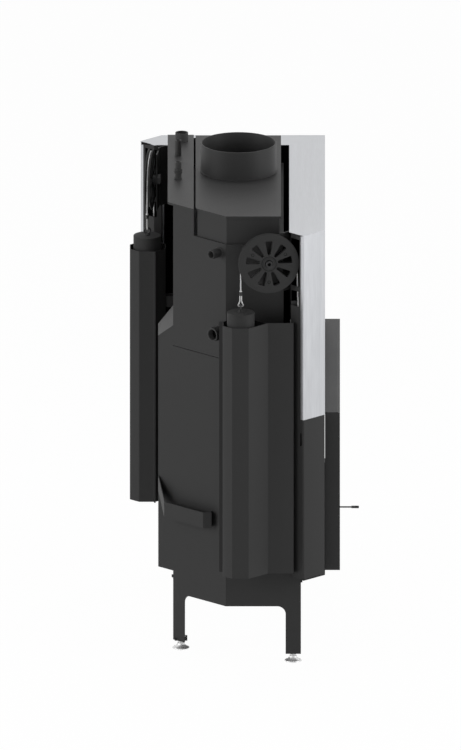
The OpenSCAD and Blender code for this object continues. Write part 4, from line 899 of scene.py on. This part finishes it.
def make_lift_gear():
    """Pulleys, axles, ropes, weights, eyes and loops of both ends."""
    axles, shade_rings, wraps, door_ropes = [], [], [], []
    for end, (place, wall) in ENDS.items():
        at_wheel = lambda v, wall=wall, place=place: place(pulley_frame(v, wall))
        body = "%s_wheel" % end
        make_piece(end + "_pulley_wheel", placed_by(pulley_wheel(), at_wheel), CHARCOAL, body,
                   [end + "_pulley"], angle=32.0)
        # black rings of painted shade in the hub groove and round the rivets
        make_piece(end + "_pulley_shade_rings", placed_by(wheel_shade_rings(), at_wheel), SOOT_AND_PAINTED_SHADE, body,
                   ())
        # painted shade: a black ring on the cap's ledge and a black disc in its socket
        socket_shade = lathe([(0.0, 0.0103), (0.0044, 0.0103), (0.0044, 0.0112), (0.0, 0.0112)], 24)
        shade_rings += placed_by([shade_ring(0.0093, 0.0017, 0.0082), socket_shade], at_wheel)
        axles += placed_by(axle_parts(), at_wheel)
        wraps += placed_by([rope_over(wall)], place)
        e, w = weight_axis(wall)

        def hang(v, place=place, e=e, w=w):
            """Points measured from the middle of the weight's top."""
            return place(np.asarray(v) + np.array([e, w, WEIGHT_TOP]))

        weight = "%s_counterweight" % end
        make_piece(end + "_weight_bar", placed_by(weight_parts(), hang), WEIGHT, weight,
                   [end + "_weight"])
        make_piece(end + "_eye_bolt", placed_by(eye_parts(), hang), BOLT, weight,
                   [end + "_weight_eye"])
        make_piece(end + "_rope_loop", placed_by(loop_parts() + stub_parts(), hang), ROPE, weight,
                   ())
        make_piece(end + "_rope_sleeve", placed_by(sleeve_parts(), hang), BOLT, weight,
                   ())
        low = np.array([e, w, ROPE_FOOT + 0.002])
        line = low + np.linspace(0, 1, 40)[:, None] * np.array([0, 0, PULLEY_UP - ROPE_FOOT - 0.002])
        rope = make_piece(end + "_weight_rope_strand", placed_by([rope_strand(line)], place), ROPE, None,
                          [end + "_weight_rope"])
        top, foot = place(line[-1]), place(line[0])
        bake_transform(rope)
        door_ropes += placed_by([rope_strand(door_rope_line(wall, PULLEY_UP - 0.0003))], place)
    # black rings and discs of painted shade in the axle caps
    make_piece("axle_shade_rings", shade_rings, SOOT_AND_PAINTED_SHADE, "insert", ())
    make_piece("pulley_axle_bolts", axles, BOLT, "insert", ["pulley_axles"])
    make_piece("pulley_ropes", wraps, ROPE, "insert", ["rope_wraps"])
    ropes = make_piece("door_rope_strands", door_ropes, ROPE, "insert", ["door_ropes"])
    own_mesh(ropes)


# ---------------------------------------------------------------- feet, sockets, collar and lever
THREADED = 0.6  # share of a pipe's length that has a thread
WALL_SUM = 1.172  # sum of the distances from the corner along both arms, on the 45 degree wall
FLOW_AT, FLUE_AT = (0.320, 0.168, 0.0), (0.0266, 0.0158, 0.0)
LEVER_AT = np.array([0.168, -0.216, 0.268])
# name, distance back, height, bore radius, wall, thread pitch
SOCKETS = [("return_socket", 0.2793, 0.918, 0.0143, 0.0047, 0.0023),
           ("vent_socket", 0.2827, 1.140, 0.0093, 0.0032, 0.0018)]
FOOT_PLACES = [(-0.394, -0.1304), (-0.270, 0.170), (0.4054, -0.1304), (0.4054, 0.170)]


def foot_parts(x, y):
    """Disc with a rolled rim, hollow cone, ringed neck and threaded spindle, turned about the foot's
    middle."""
    disc = [(0.0, 0.0004), (0.0195, 0.0), (0.0218, 0.0006), (0.0229, 0.0020), (0.0226, 0.0034),
            (0.0212, 0.0044), (0.0180, 0.0056), (0.0145, 0.0078), (0.0118, 0.0106), (0.0100, 0.0132),
            (0.0095, 0.0146), (0.0098, 0.0150), (0.0098, 0.0166), (0.0078, 0.0172), (0.0072, 0.0180),
            (0.0084, 0.0188), (0.0084, 0.0206), (0.0078, 0.0212)]
    crest, root = (0.0080, 0.0216), (0.0073, 0.0226)
    thread = [(r, z + 0.002 * k) for k in range(20) for r, z in (crest, root)]
    return lathe(disc + thread + [(0.0070, 0.062), (0.0, 0.062)], 48, (x, y, 0.0))


def make_feet():
    """Four levelling feet with hexagon nuts."""
    parts = []
    nut_radius, nut_low, nut_high, nut_turned = 0.012, 0.0315, 0.0395, 0.2
    for x, y in FOOT_PLACES:
        parts.append(foot_parts(x, y))
        parts.append(prism(hexagon(nut_radius, (x, y), nut_turned), nut_low, nut_high))
    make_piece("foot_set", parts, FOOT, "insert", ["levelling_feet"], angle=50.0)


def pipe_ring(outer, inner, low, high, soft=0.0008, pitch=0.0):
    """Profile of a pipe's wall with soft rims, and thread grooves of a given pitch in its bore's upper
    part."""
    wall = [(inner, low), (outer, low), (outer, high - soft), (outer - soft * 0.4, high - soft * 0.3),
            (outer - soft, high), (inner + soft, high)]
    if pitch:
        count = int((high - low) * THREADED / pitch)
        crest_and_root = ((0.0, 0.0), (0.5, 0.0009))
        for k in range(count):
            wall += [(inner + d, high - soft - pitch * (k + f)) for f, d in crest_and_root]
    else:
        wall.append((inner, high - soft))
    return wall


def socket_place(back, z):
    """Places a socket on the 45 degree wall: its foot + x * side + y * up + z * out."""
    foot = np.array([back - WALL_SUM + CORNER[0], back + CORNER[1], z])
    out = np.array([-1.0, 1.0, 0.0]) / ROOT2
    side = np.array([1.0, 1.0, 0.0]) / ROOT2
    up = np.array([0.0, 0.0, 1.0])
    return lambda v: foot + v[:, :1] * side + v[:, 1:2] * up + v[:, 2:3] * out


def make_fittings():
    """Sockets with weld fillets and threads, flow pipe, flue collar and air lever."""
    for name, back, z, bore, wall, pitch in SOCKETS:
        outer = bore + wall
        ring = pipe_ring(outer, bore, 0.0, 0.033, pitch=pitch)
        fillet = [(outer, 0.0), (outer + 0.0035, 0.0), (outer + 0.0026, 0.0018), (outer, 0.0036)]
        turned = [lathe(ring, 48, closed=True), lathe(fillet, 48, closed=True)]
        make_piece(name + "_fitting", placed_by(turned, socket_place(back, z)), CHARCOAL, "insert",
                   [name])
    flow = pipe_ring(0.0173, 0.0143, 1.219, 1.269, pitch=0.0023)
    make_piece("flow_pipe_fitting", [lathe(flow, 48, FLOW_AT, True)], PIPE, "insert",
               ["flow_pipe"])
    collar = [(0.0975, 1.245), (0.103, 1.245), (0.1033, 1.2462), (0.103, 1.2486), (0.1015, 1.2494),
              (0.1015, 1.3222), (0.1012, 1.3238), (0.1004, 1.3248), (0.0995, 1.325), (0.0982, 1.3248),
              (0.0975, 1.3238)]
    make_piece("flue_collar_ring", [lathe(collar, 128, FLUE_AT, True)], CHARCOAL, "insert",
               ["flue_collar"])
    rod = [(0.0, -0.0563), (0.002, -0.0563), (0.002, 0.0706), (0.0032, 0.0710), (0.0037, 0.0722)]
    grip = [(0.0037 - 0.0005 * (k % 2), 0.0722 + 0.0015 * k) for k in range(1, 12)]
    lever = rod + grip + [(0.0034, 0.0902), (0.0026, 0.0908), (0.0, 0.0910)]
    place = lambda v: np.stack([v[:, 0], -v[:, 2], v[:, 1]], 1) + LEVER_AT
    make_piece("air_lever_rod", placed_by([lathe(lever, 32)], place), BOLT, "air_control", ["air_lever"])


make_sheets()
make_painted_shade_linings()
make_lift_gear()
make_feet()
make_fittings()


def paint_nodes():
    """Every CAD node takes the material of its slot, or its own."""
    slots = {part["node"]: part["material_slot"] for part in frame["record"]["subparts"]}
    for name, node in frame["nodes"].items():
        material = NODE_MATERIALS.get(name) or SLOT_MATERIALS[slots[name]]
        node.data.materials.clear()
        node.data.materials.append(material)


paint_nodes()
